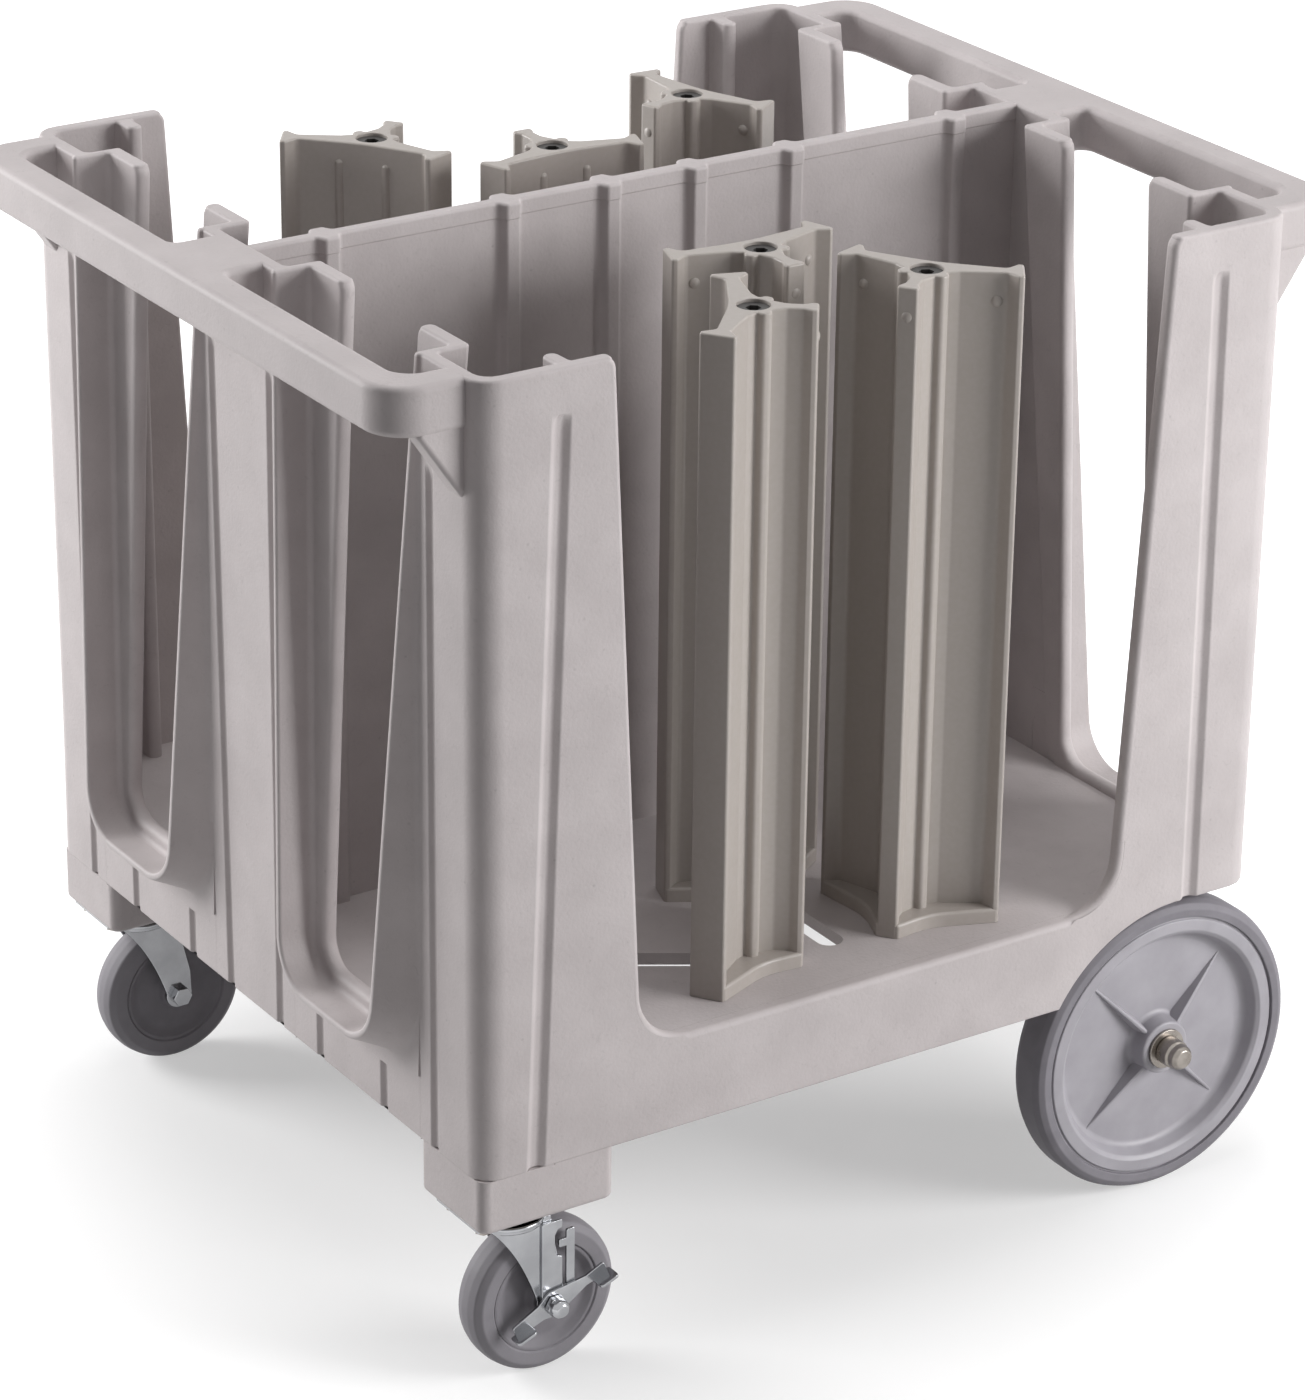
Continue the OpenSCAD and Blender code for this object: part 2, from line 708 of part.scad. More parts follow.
// Chrome fork: crown and two tapered legs
module caster_fork() {
    leg_drop = fork_top_z - caster_r;
    color([0.86, 0.87, 0.88]) translate([-caster_x, -caster_y, fork_top_z]) difference() {
        union() {
            translate([0, 0, -fork_t]) linear_extrude(fork_t) hull() {
                circle(r = race_r + 4, $fn = 48);
                translate([trail / 2, -fork_half - fork_t])
                    square([trail / 2, 2 * (fork_half + fork_t)]);
            }
            for (s = [-1, 1])
                translate([0, s * (fork_half + fork_t / 2), 0]) rotate([90, 0, 0])
                    linear_extrude(fork_t, center = true) hull() {
                        translate([-18, -fork_t]) square([18 + trail, fork_t]);
                        translate([trail, -leg_drop]) circle(r = fork_end_r, $fn = 32);
                    }
        }
        translate([0, 0, -fork_t - 1])
            cylinder(d = kingpin_d + 2 * run_gap, h = fork_t + 2, $fn = 48);
        translate([trail, 0, -leg_drop]) rotate([90, 0, 0]) cylinder(
            d = caster_axle_d + 2 * run_gap, h = 2 * (fork_half + fork_t) + 2,
            center = true, $fn = 32);
    }
}

// Places a piece at the hub of the front near caster, with its axle along z
module at_caster_hub() {
    translate([-caster_x + trail, -caster_y, caster_r]) rotate([90, 0, 0]) children();
}

// Axle bolt of a caster with head and nut
module caster_axle() {
    reach = fork_half + fork_t;
    color([0.80, 0.81, 0.83]) at_caster_hub() {
        cylinder(d = caster_axle_d, h = 2 * reach + 16, center = true, $fn = 32);
        translate([0, 0, -reach - 7]) cylinder(d = 17, h = 7, $fn = 6);
        translate([0, 0, reach + 6]) cylinder(d = 17, h = 8, $fn = 6);
    }
}

// Grey core of a caster wheel
module caster_core() {
    half = caster_w / 2;
    bore = caster_axle_d / 2 + run_gap;
    core = caster_core_r;
    color([0.45, 0.44, 0.46]) at_caster_hub() rotate_extrude($fn = 64) polygon([
        [bore, -half - 2], [13, -half - 2], [15, -half + 6], [core - 6, -half + 6],
        [core, -half + 1], [core, half - 1], [core - 6, half - 6], [15, half - 6],
        [13, half + 2], [bore, half + 2]]);
}

// Rubber tread of a caster wheel
module caster_tread() {
    half = caster_w / 2;
    core = caster_core_r;
    color([0.40, 0.39, 0.41]) at_caster_hub() rotate_extrude($fn = 96) polygon([
        [core, -half + 1], [core + 8, -half], [caster_r - 3, -half + 4],
        [caster_r, -half + 11], [caster_r, half - 11], [caster_r - 3, half - 4],
        [core + 8, half], [core, half - 1]]);
}

// Upright strap outside the fork that the brake lever latches on
module brake_strap() {
    top = fork_top_z - caster_r - 6;
    color([0.85, 0.86, 0.87]) at_caster_hub() translate([0, 0, fork_half + fork_t])
        difference() {
            linear_extrude(strap_t) union() {
                circle(d = strap_w, $fn = 32);
                translate([-strap_w / 2, 0]) square([strap_w, top]);
                translate([strap_w / 2 + 4, 8]) square([7, top - 20]);
                translate([0, top - 26]) square([strap_w / 2 + 11, 7]);
            }
            translate([0, 0, -1]) cylinder(
                d = caster_axle_d + 2 * run_gap, h = strap_t + 2, $fn = 32);
        }
}

// Brake lever: a plate on the axle with two bent foot tabs
module brake_lever() {
    z0 = fork_half + fork_t + strap_t + face_gap;
    color([0.83, 0.84, 0.85]) at_caster_hub() rotate([0, 0, 22]) difference() {
        union() {
            translate([0, 0, z0]) linear_extrude(lever_t) union() {
                circle(r = fork_end_r, $fn = 32);
                translate([0, -6]) square([lever_long, 11]);
                translate([-lever_short, -6]) square([lever_short, 11]);
            }
            translate([lever_long - 12, -6, z0]) cube([15, 3, 15]);
            translate([-lever_short - 4, -6, z0]) cube([18, 3, 13]);
        }
        translate([0, 0, z0 - 1]) cylinder(
            d = caster_axle_d + 2 * run_gap, h = lever_t + 2, $fn = 32);
    }
}

// Outline of one arm of a tower along x, with its flared end
module tower_arm(reach, tip_w) {
    polygon([[0, -core_r + 3], [reach * 0.55, -arm_t / 2], [reach - 2, -arm_t / 2],
             [reach - 2, arm_t / 2], [reach * 0.55, arm_t / 2], [0, core_r - 3]]);
    translate([reach - tip_t, -tip_w / 2]) square([tip_t, tip_w]);
}

// Section of a tower; fill is the radius of the hollow curves between its arms
module tower_section(fill) {
    offset(r = 2.5, $fn = 16) offset(r = -2.5 - fill, $fn = 40) offset(r = fill, $fn = 40) {
        circle(r = core_r, $fn = 48);
        for (s = [-1, 1]) rotate(s * arm_angle) tower_arm(arm_long, tip_w_long);
        rotate(180) tower_arm(arm_short, tip_w_short);
    }
}

// Puts a piece at the rest place of tower k
module at_tower(k) {
    p = tower_at[k - 1];
    translate([p[0], p[1], 0]) rotate([0, 0, p[2]]) children();
}

// Tower k: the arms with a foot flange and a bore for the clamp rod
module tower(k) {
    color([0.66, 0.65, 0.63]) at_tower(k) difference() {
        union() {
            translate([0, 0, tower_low_z]) linear_extrude(tower_top_z - tower_low_z)
                tower_section(tower_fill);
            translate([0, 0, tower_low_z]) linear_extrude(foot_h) tower_section(foot_fill);
        }
        translate([0, 0, deck_z - 1]) cylinder(
            d = rod_d + 2 * run_gap, h = tower_h + 2, $fn = 32);
        translate([0, 0, tower_top_z - rod_head_h - 3]) cylinder(
            d = rod_head_d + 2 * slip_gap, h = rod_head_h + 4, $fn = 48);
    }
}

// Clamp rod of tower k, with a dark socket head sunk in the top of the tower
module clamp_rod(k) {
    color([0.25, 0.24, 0.24]) at_tower(k) difference() {
        union() {
            translate([0, 0, deck_low_z - plate_t - 8])
                cylinder(d = rod_d, h = tower_top_z - 6 - deck_low_z + plate_t + 8, $fn = 32);
            translate([0, 0, tower_top_z - rod_head_h - 3 + slip_gap])
                cylinder(d = rod_head_d, h = rod_head_h, $fn = 48);
        }
        translate([0, 0, tower_top_z - 9]) cylinder(d = 12, h = 12, $fn = 6);
    }
}

// Clamp plate of tower k under the deck
module clamp_plate(k) {
    color([0.60, 0.60, 0.62]) at_tower(k) difference() {
        translate([0, 0, deck_low_z - slip_gap - plate_t]) linear_extrude(plate_t)
            offset(r = 5, $fn = 24) square([plate_l - 10, plate_l - 10], center = true);
        translate([0, 0, deck_low_z - plate_t - 2])
            cylinder(d = rod_d, h = plate_t + 4, $fn = 32);
    }
}

// Turns a front piece into the rear one
module to_rear() {
    mirror([1, 0, 0]) children();
}

// Turns a near piece into the far one
module to_far() {
    mirror([0, 1, 0]) children();
}

// A near piece and its mirror image on the far side
module both_sides() {
    children();
    to_far() children();
}

deck_plate();
under_deck_ribs();
side_skirt();  // near_side_skirt
to_far() side_skirt();  // far_side_skirt
end_skirt();  // front_end_skirt
rear_end_skirt();
centre_divider();
corner_post();  // front_near_corner
to_far() corner_post();  // front_far_corner
to_rear() corner_post();  // rear_near_corner
to_rear() to_far() corner_post();  // rear_far_corner
centre_post();  // front_centre_post
to_rear() centre_post();  // rear_centre_post
handle_rail();  // front_handle_rail
to_rear() handle_rail();  // rear_handle_rail
caster_block();  // near_caster_block
to_far() caster_block();  // far_caster_block
both_sides() axle_hanger();  // axle_hangers
rear_axle();
both_sides() wheel_washers();  // hub_washers
both_sides() cap_nut();  // cap_nuts
both_sides() plate_bolts();  // caster_bolts
wheel_disc();  // near_wheel_disc
wheel_tyre();  // near_wheel_tyre
to_far() wheel_disc();  // far_wheel_disc
to_far() wheel_tyre();  // far_wheel_tyre
caster_plate();  // near_caster_plate
caster_race();  // near_caster_race
caster_fork();  // near_caster_fork
caster_axle();  // near_caster_axle
caster_core();  // near_caster_core
caster_tread();  // near_caster_tread
brake_strap();  // near_brake_strap
brake_lever();  // near_brake_lever
to_far() caster_plate();  // far_caster_plate
to_far() caster_race();  // far_caster_race
to_far() caster_fork();  // far_caster_fork
to_far() caster_axle();  // far_caster_axle
to_far() caster_core();  // far_caster_core
to_far() caster_tread();  // far_caster_tread
to_far() brake_strap();  // far_brake_strap
to_far() brake_lever();  // far_brake_lever
tower(1);  // tower_1
clamp_rod(1);  // tower_1_clamp_rod
clamp_plate(1);  // tower_1_clamp_plate
tower(2);  // tower_2
clamp_rod(2);  // tower_2_clamp_rod
clamp_plate(2);  // tower_2_clamp_plate
tower(3);  // tower_3
clamp_rod(3);  // tower_3_clamp_rod
clamp_plate(3);  // tower_3_clamp_plate
tower(4);  // tower_4
clamp_rod(4);  // tower_4_clamp_rod
clamp_plate(4);  // tower_4_clamp_plate
tower(5);  // tower_5
clamp_rod(5);  // tower_5_clamp_rod
clamp_plate(5);  // tower_5_clamp_plate
tower(6);  // tower_6
clamp_rod(6);  // tower_6_clamp_rod
clamp_plate(6);  // tower_6_clamp_plate
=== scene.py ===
from math import acos, atan, atan2, cos, degrees, pi, radians, sin, sqrt, tan
import bpy
import numpy as np
from mathutils import Matrix, Vector
from mathutils.geometry import delaunay_2d_cdt


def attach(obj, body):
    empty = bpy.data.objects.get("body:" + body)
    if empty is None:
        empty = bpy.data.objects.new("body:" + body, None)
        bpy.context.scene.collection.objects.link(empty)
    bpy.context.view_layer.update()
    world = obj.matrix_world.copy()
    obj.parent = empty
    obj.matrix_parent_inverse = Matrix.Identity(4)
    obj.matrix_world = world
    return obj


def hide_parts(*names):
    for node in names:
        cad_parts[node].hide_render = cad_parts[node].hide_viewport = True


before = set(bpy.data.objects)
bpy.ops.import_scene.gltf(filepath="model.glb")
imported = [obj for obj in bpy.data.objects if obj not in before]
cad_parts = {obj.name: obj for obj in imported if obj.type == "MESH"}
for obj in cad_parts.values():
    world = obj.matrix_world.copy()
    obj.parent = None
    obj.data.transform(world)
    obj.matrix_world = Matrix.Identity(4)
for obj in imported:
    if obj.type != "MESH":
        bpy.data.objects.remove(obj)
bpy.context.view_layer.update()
scene = bpy.context.scene

# Sizes of the caddy in millimetres, the same as in the solids
HALF_L = 363
HALF_W = 343
TOP_Z = 824
DECK_Z = 272
DECK_T = 10
SKIRT_Z = 195
WALL = 12
CORNER_R = 22
AXLE_X = 288
WHEEL_Y = 317
WHEEL_R = 127
CASTER_X = 314
CASTER_Y = 299
CASTER_R = 63.5
TRAIL = 26
TOWER_TOP = 807
# Each tower's place in plan and the direction in degrees that its hollow front looks in
TOWERS = {1: (0, -155, 90), 2: (-77.916, -260.652, 143), 3: (77.916, -260.652, 37),
          4: (-113.805, 233.116, -143), 5: (0, 142, -90), 6: (169.843, 203.964, 15)}
# Deck slots of the far half: x and y of both ends
DECK_SLOTS = ((0, 92, 0, 268), (66, 268, 186, 194), (-66, 268, -186, 194))


# Outlines are arrays of (x, y), corners are (x, y, radius), and a part is (points, faces)

def unit(v):
    """Each vector of an array divided by its length."""
    return v / np.maximum(np.linalg.norm(v, axis=-1, keepdims=True), 1e-12)


def arc(cx, cy, r, a0, a1, n):
    """Points of a circle arc from angle a0 to a1 in degrees."""
    a = np.radians(np.linspace(a0, a1, n))
    return np.stack([cx + r * np.cos(a), cy + r * np.sin(a)], 1)


def rounded(corners, steps=6):
    """A closed outline from corners: each becomes an arc tangent to both of its sides, its
    tangent length r / tan(half the angle between them) held under half of the shorter side.
    Points are complex numbers x + iy."""
    c = np.array(corners, float)
    p, r = c[:, 0] + 1j * c[:, 1], c[:, 2]
    a, b = np.roll(p, 1) - p, np.roll(p, -1) - p
    half = abs(np.angle(b / a)) / 2
    cut = np.minimum(r / np.tan(half), 0.49 * np.minimum(abs(a), abs(b)))
    a, b = a / abs(a), b / abs(b)
    mid = p + (a + b) / np.maximum(abs(a + b), 1e-12) * cut / np.cos(half)
    s, e = p + a * cut - mid, p + b * cut - mid
    turn = np.angle(e * s.conj())[:, None] * np.linspace(0, 1, steps)
    q = (mid[:, None] + s[:, None] * np.exp(1j * turn)).ravel()
    return np.stack([q.real, q.imag], 1)


def turned_left(outline):
    """An outline run anticlockwise: turned round if its signed area is negative."""
    n = np.roll(outline, -1, 0)
    area = (outline[:, 0] * n[:, 1] - outline[:, 1] * n[:, 0]).sum()
    return outline if area > 0 else outline[::-1]


def outward(outline):
    """Outward normals of an anticlockwise outline, so long that an offset keeps its distance
    from both sides of a point. A side without length takes the one before it."""
    side = np.roll(outline, -1, 0) - outline
    ok = np.linalg.norm(side, axis=1) > 1e-6
    last = np.maximum.accumulate(np.where(ok, np.arange(len(ok)), -1))
    side = unit(side[np.where(last < 0, np.flatnonzero(ok)[-1], last)])
    n = np.stack([side[:, 1], -side[:, 0]], 1)
    m = n + np.roll(n, 1, 0)
    return m / np.maximum((m * m).sum(1, keepdims=True) / 2, 0.5)


def level(outline, z):
    """An outline as points at height z."""
    return np.c_[outline, np.full(len(outline), z)]


def circles(radii, heights, n):
    """Rows of n points round the z axis, one for each radius and height."""
    a = np.linspace(0, 2 * pi, n, endpoint=False)
    r, z = np.array(radii, float)[:, None], np.array(heights, float)[:, None]
    return np.stack([r * np.cos(a), r * np.sin(a), z + 0 * a], 2)


def sheet(rows, caps=(False, False), ring=False):
    """Closed rows of points as a part: quads between neighbours. A cap closes the first or last
    row with one face, and a ring joins the last row to the first."""
    m, n = rows.shape[:2]
    i, j = np.meshgrid(np.arange(m if ring else m - 1), np.arange(n), indexing="ij")
    i2, j2 = (i + 1) % m, (j + 1) % n
    quads = np.stack([i * n + j, i * n + j2, i2 * n + j2, i2 * n + j], 2)
    faces = quads.reshape(-1, 4).tolist()
    if caps[0]:
        faces.append(list(range(n))[::-1])
    if caps[1]:
        faces.append([(m - 1) * n + k for k in range(n)])
    return rows.reshape(-1, 3), faces


def facing_out(part):
    """A closed part with its faces turned outwards: flipped if its signed volume, the sum of
    a . (b x c) / 6 over a fan of each face, is negative."""
    v, f = part
    tri = np.array([(q[0], q[k], q[k + 1]) for q in f for k in range(1, len(q) - 1)])
    a, b, c = v[tri[:, 0]], v[tri[:, 1]], v[tri[:, 2]]
    return (v, [q[::-1] for q in f]) if (a * np.cross(b, c)).sum() < 0 else part


def solid(rows):
    """A closed part through rows of points, with a cap on both ends."""
    return facing_out(sheet(np.stack(rows), (True, True)))


def slab(outline, z0, z1, r0=0, r1=0, steps=4, caps=(True, True)):
    """An outline raised from z0 to z1, with its lower and upper edges rounded by quarter
    circles: the outline moves in by r (1 - cos a) while the height moves by r sin a."""
    outline = turned_left(outline)
    a = np.linspace(0, pi / 2, steps + 1)
    low = np.stack([r0 * (1 - np.cos(a[::-1])), z0 + r0 - r0 * np.sin(a[::-1])], 1)
    high = np.stack([r1 * (1 - np.cos(a)), z1 - r1 + r1 * np.sin(a)], 1)
    wall = np.concatenate([low if r0 else [[0, z0]], high if r1 else [[0, z1]]])
    normal = outward(outline)
    return sheet(np.stack([level(outline - normal * inset, z) for inset, z in wall]), caps)


def flat_face(outer, holes, z, up=True):
    """Flat face at height z inside an outline and outside its holes, by Delaunay triangles."""
    loops = [turned_left(q) for q in [outer] + list(holes)]
    start = np.cumsum([0] + [len(q) for q in loops])
    rings = [list(range(a, b)) for a, b in zip(start, start[1:])]
    points = [tuple(p) for p in np.concatenate(loops).tolist()]
    v, _, faces, _, _, source = delaunay_2d_cdt(points, [], rings, 1, 1e-5)
    v = np.array([tuple(p) for p in v])
    t = np.array([list(q) for q, s in zip(faces, source) if 0 in s and len(s) == 1])
    area = np.cross(v[t[:, 1]] - v[t[:, 0]], v[t[:, 2]] - v[t[:, 0]])
    return level(v, z), np.where(((area > 0) == up)[:, None], t, t[:, ::-1]).tolist()


def turned(corners, n=96, steps=6):
    """A ring turned about z from the corners (radius, z, rounding) of its section."""
    section = rounded(corners, steps)
    return facing_out(sheet(circles(section[:, 0], section[:, 1], n), ring=True))


def dome(r, h):
    """A flattened ball: radius r across, h high, closed below the surface it sits on."""
    a = np.linspace(-0.35, pi / 2, 6)
    return sheet(circles(r * np.cos(a), h * np.sin(a), 20), (True, True))


def moved(part, x=0, y=0, z=0, turn=0):
    """A part turned about z by degrees, then moved."""
    c, s = cos(radians(turn)), sin(radians(turn))
    m = np.array([[c, -s, 0], [s, c, 0], [0, 0, 1]])
    return part[0] @ m.T + np.array([x, y, z]), part[1]


def swapped(part, order, signs=(1, 1, 1)):
    """A part with its axes taken in another order and with other signs, still facing out."""
    v, f = part
    m = np.zeros((3, 3))
    m[np.arange(3), list(order)] = signs
    return v @ m.T, [q[::-1] for q in f] if np.linalg.det(m) < 0 else f


def stood(part, along, face, place):
    """A part drawn on the ground, stood on a wall at a place: x runs along the wall and z out
    of its face."""
    axes = np.array([along, np.cross(face, along), face])
    return part[0] @ axes + place, part[1]


def mirrored(part, far=True, rear=False):
    """The same part on the far side or the rear end of the caddy."""
    return swapped(part, (0, 1, 2), (-1 if rear else 1, -1 if far else 1, 1))


def soft_normals(mesh, limit):
    """Normals of each face corner: the sum of area times normal over the faces at that point
    which turn less than the limit from this one, so that flat walls stay flat."""
    def read(items, field, kind=float, width=1):
        """One field of all the items as an array."""
        values = np.empty(len(items) * width, kind)
        items.foreach_get(field, values)
        return values

    nl, nf = len(mesh.loops), len(mesh.polygons)
    lv = read(mesh.loops, "vertex_index", np.int64)
    total = read(mesh.polygons, "loop_total", np.int64)
    nrm = read(mesh.polygons, "normal", width=3).reshape(-1, 3)
    area = read(mesh.polygons, "area")
    order = np.argsort(lv, kind="stable")
    v, f = lv[order], np.repeat(np.arange(nf), total)[order]
    start = np.searchsorted(v, v, "left")
    count = np.searchsorted(v, v, "right") - start
    src = np.repeat(np.arange(nl), count)
    other = np.repeat(start - np.cumsum(count) + count, count) + np.arange(len(src))
    near = (nrm[f[src]] * nrm[f[other]]).sum(1) > cos(radians(limit))
    w = (area[f[other]] * near)[:, None] * nrm[f[other]]
    res = np.empty((nl, 3))
    res[order] = unit(np.stack([np.bincount(src, w[:, k], nl) for k in range(3)], 1))
    mesh.normals_split_custom_set(res.tolist())


def new_mesh(name, parts, material):
    """A mesh from parts in millimetres."""
    base = np.cumsum([0] + [len(v) for v, _ in parts]).tolist()
    faces = [[k + start for k in q] for start, (_, f) in zip(base, parts) for q in f]
    mesh = bpy.data.meshes.new(name)
    mesh.from_pydata((np.concatenate([v for v, _ in parts]) * 0.001).tolist(), [], faces)
    mesh.update()
    mesh.materials.append(material)
    return mesh


def new_object(name, data):
    """An object at the origin, in the scene."""
    obj = bpy.data.objects.new(name, data)
    scene.collection.objects.link(obj)
    return obj


def piece(name, parts, material, body, stands_for, limit=38):
    """One object from parts, riding on a body of the frame, smooth where faces turn by less
    than the limit in degrees."""
    mesh = new_mesh(name, parts, material)
    mesh.shade_smooth()
    soft_normals(mesh, limit)
    obj = new_object(name, mesh)
    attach(obj, body)
    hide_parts(*stands_for)


# Materials

def srgb(code):
    """An sRGB hex value as linear red, green, blue and alpha."""
    c = np.array([int(code[k:k + 2], 16) / 255 for k in (1, 3, 5)])
    c = np.where(c <= 0.04045, c / 12.92, ((c + 0.055) / 1.055) ** 2.4)
    return tuple(c) + (1,)


def add(tree, kind, settings=(), links=(), **values):
    """Adds a shader node: settings are its properties, links its inputs fed by other sockets,
    and values its input numbers."""
    node = tree.nodes.new("ShaderNode" + kind)
    for key, value in dict(settings).items():
        setattr(node, key, value)
    for key, value in values.items():
        node.inputs[key.replace("_", " ")].default_value = value
    for key, socket in dict(links).items():
        tree.links.new(socket, node.inputs[key])
    return node


def new_material(name, colour, roughness, metallic=0, specular=0.5):
    """A material with its main shader; colour is an sRGB hex value."""
    mat = bpy.data.materials.new(name)
    mat.use_nodes = True
    shader = mat.node_tree.nodes["Principled BSDF"]
    shader.inputs["Base Color"].default_value = srgb(colour)
    shader.inputs["Roughness"].default_value = roughness
    shader.inputs["Metallic"].default_value = metallic
    if metallic == 0:
        shader.inputs["Specular IOR Level"].default_value = specular
    return mat, mat.node_tree, shader


def clouded(name, colour, roughness, tones, cloud_mm, gloss, bump, bump_mm, detail=3,
            **finish):
    """A material whose colour drifts in soft clouds between two tones, and its roughness
    between the two values of gloss, over a fine grain, all sized on the object itself."""
    mat, tree, shader = new_material(name, colour, roughness, **finish)
    at = add(tree, "TexCoord").outputs["Object"]
    noise = add(tree, "TexNoise", links={"Vector": at}, Scale=1000 / cloud_mm,
                Detail=detail, Roughness=0.55)
    ramp = add(tree, "ValToRGB", links={"Fac": noise.outputs["Fac"]})
    for stop, place, tone in zip(ramp.color_ramp.elements, (0.34, 0.68), tones):
        stop.position = place
        stop.color = srgb(tone)
    tree.links.new(ramp.outputs["Color"], shader.inputs["Base Color"])
    if gloss:
        span = add(tree, "MapRange", links={"Value": noise.outputs["Fac"]},
                   From_Min=0.3, From_Max=0.7, To_Min=gloss[0], To_Max=gloss[1])
        tree.links.new(span.outputs[0], shader.inputs["Roughness"])
    grain = add(tree, "TexNoise", links={"Vector": at}, Scale=1000 / bump_mm,
                Detail=2)
    relief = add(tree, "Bump", links={"Height": grain.outputs["Fac"]},
                 Strength=bump, Distance=0.0006)
    tree.links.new(relief.outputs[0], shader.inputs["Normal"])
    return mat


def foam_plastic():
    """Structural foam polyethylene: a satin skin in an even warm grey, with faint clouds from the
    flow, faint creases 7 mm apart drawn only as painted shade (darker lines with no relief), a
    fine pebble drawn coarse at 3 mm so that it shows, and small dark specks 22 mm apart."""
    mat = clouded("structural_foam_polyethylene", "#bfb8b8", 0.52, ("#bab3b3", "#c4bdbd"), 60,
                  (0.48, 0.58), 0.40, 3, detail=4, specular=0.22)
    tree = mat.node_tree
    colour = tree.nodes["Principled BSDF"].inputs["Base Color"]
    at = add(tree, "TexCoord").outputs["Object"]
    # Painted shade: darker lines about 7 mm apart stand in for the shade of faint creases that have
    # no relief
    painted_crease_shade = add(tree, "TexNoise", links={"Vector": at}, Scale=1000 / 7, Detail=3,
                 Roughness=0.6, Distortion=1.6)
    painted_crease_shade = add(tree, "MapRange", links={"Value": painted_crease_shade.outputs["Fac"]},
                 From_Min=0.60, From_Max=0.72, To_Min=1, To_Max=0.93)
    fleck = add(tree, "TexVoronoi", links={"Vector": at}, Scale=1000 / 22,
                Randomness=1)
    dark = add(tree, "MapRange", links={"Value": fleck.outputs["Distance"]},
               From_Min=0, From_Max=0.07, To_Min=0.80, To_Max=1)
    # The colour is scaled by the painted crease shade and the dark specks together
    both = add(tree, "Math", {"operation": "MULTIPLY"},
               {0: painted_crease_shade.outputs[0], 1: dark.outputs[0]})
    mix = add(tree, "VectorMath", {"operation": "SCALE"},
              {0: colour.links[0].from_socket, "Scale": both.outputs[0]})
    tree.links.new(mix.outputs[0], colour)
    return mat


def rubber(name, dark, light):
    """Non-marking thermoplastic rubber, dull and lightly scuffed."""
    return clouded(name, light, 0.62, (dark, light), 30, (0.55, 0.70), 0.12, 1.6, specular=0.35)


FOAM = foam_plastic()
# Moulded polypropylene: smoother and a little warmer than the cart, with a soft shine
TOWER = clouded("moulded_polypropylene", "#aaa39e", 0.36, ("#a9a29c", "#aba49f"), 4, None, 0.05,
                5, detail=0, specular=0.4)
# Grey moulded nylon of the wheel discs, satin with a fine grain
DISC = clouded("moulded_nylon_grey", "#a09da3", 0.42, ("#9a979d", "#a6a3a9"), 40, (0.38, 0.48),
               0.05, 2, specular=0.45)
TYRE = rubber("wheel_tyre_rubber", "#77747a", "#838086")
CASTER_TYRE = rubber("caster_tyre_rubber", "#848186", "#8e8b90")
# Polyolefin core of the casters, as dull as the rubber round it and a shade darker
CASTER_CORE = rubber("caster_core_polyolefin", "#7a777c", "#868388")
# Nickel chrome on pressed steel: mirror bright, with a slight ripple from pressing
CHROME = clouded("chrome_plated_steel", "#a8a9ac", 0.16, ("#a0a1a4", "#b0b1b4"), 30,
                 (0.12, 0.22), 0.06, 12, metallic=1)
# Bright zinc plate: soft metal sheen with a cloudy, slightly yellow tone
ZINC = clouded("zinc_plated_steel", "#8f8a84", 0.30, ("#857f79", "#9a948e"), 12, (0.24, 0.38),
               0.05, 1.5, metallic=1)
# Black moulded plug over the clamp screw, nearly matt
PLUG = clouded("black_moulded_nylon", "#2c2a29", 0.45, ("#262423", "#33302f"), 8, (0.40, 0.55),
               0.05, 0.8)

# The material of each solid, by the end of its name
FITTINGS = ((PLUG, ("rod",)), (DISC, ("disc",)), (TYRE, ("tyre",)), (CASTER_CORE, ("core",)),
            (CASTER_TYRE, ("tread",)),
            (ZINC, ("clamp_plate", "washers", "nuts", "bolts", "race", "rear_axle")),
            (CHROME, ("caster_plate", "fork", "caster_axle", "strap", "lever")))
for name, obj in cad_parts.items():
    found = [material for material, ends in FITTINGS if name.endswith(ends)]
    obj.data.materials.clear()
    obj.data.materials.append((found + [TOWER if name.startswith("tower") else FOAM])[0])


# Moulded body. The near front quarter is drawn and then mirrored.

# The opening of an end slot lies in a plane that leans inwards going up, from LIP_LOW to LIP_TOP
# before the wall: middle at SLOT_Y, foot at SLOT_Z, lower corners of radius SLOT_R about SLOT_C,
# straight sides up to SLOT_T.
SLOT_Y = 160
SLOT_Z = DECK_Z - 4
SLOT_R = 38
SLOT_C = np.array([30, SLOT_R])
SLOT_T = np.array([102, 586])
LIP_LOW = 29
LIP_TOP = 2
LIP_TILT = atan((LIP_LOW - LIP_TOP) / (TOP_Z - SLOT_Z))
CT, ST = cos(LIP_TILT), sin(LIP_TILT)
PLUMB = 96
FRAME_IN, FRAME_OUT = SLOT_Y - PLUMB, SLOT_Y + PLUMB
# Section of a slot frame: the lip, the channel wall behind it and the flange at its back
LIP_W = 5.2
CHANNEL = 30
FLANGE_BACK = 43
FLANGE_GAP = 52
# The side opening in the side wall: lower corners, and the top end of its straight sides
SIDE_R = 45
SIDE_C = np.array([178, DECK_Z + SIDE_R])
SIDE_T = np.array([248, TOP_Z])
# Heights where a post and a foot panel begin, and radii of edges and of corners that only meet
# the next part
POST_Z = 330
FOOT_Z = DECK_Z - 5
RIM = 2.4
EDGE_R = 2.5
MEET = 0.2
# Inner faces of the near side wall and of the front end wall
SIDE_IN, END_IN = -HALF_W + WALL, -HALF_L + WALL
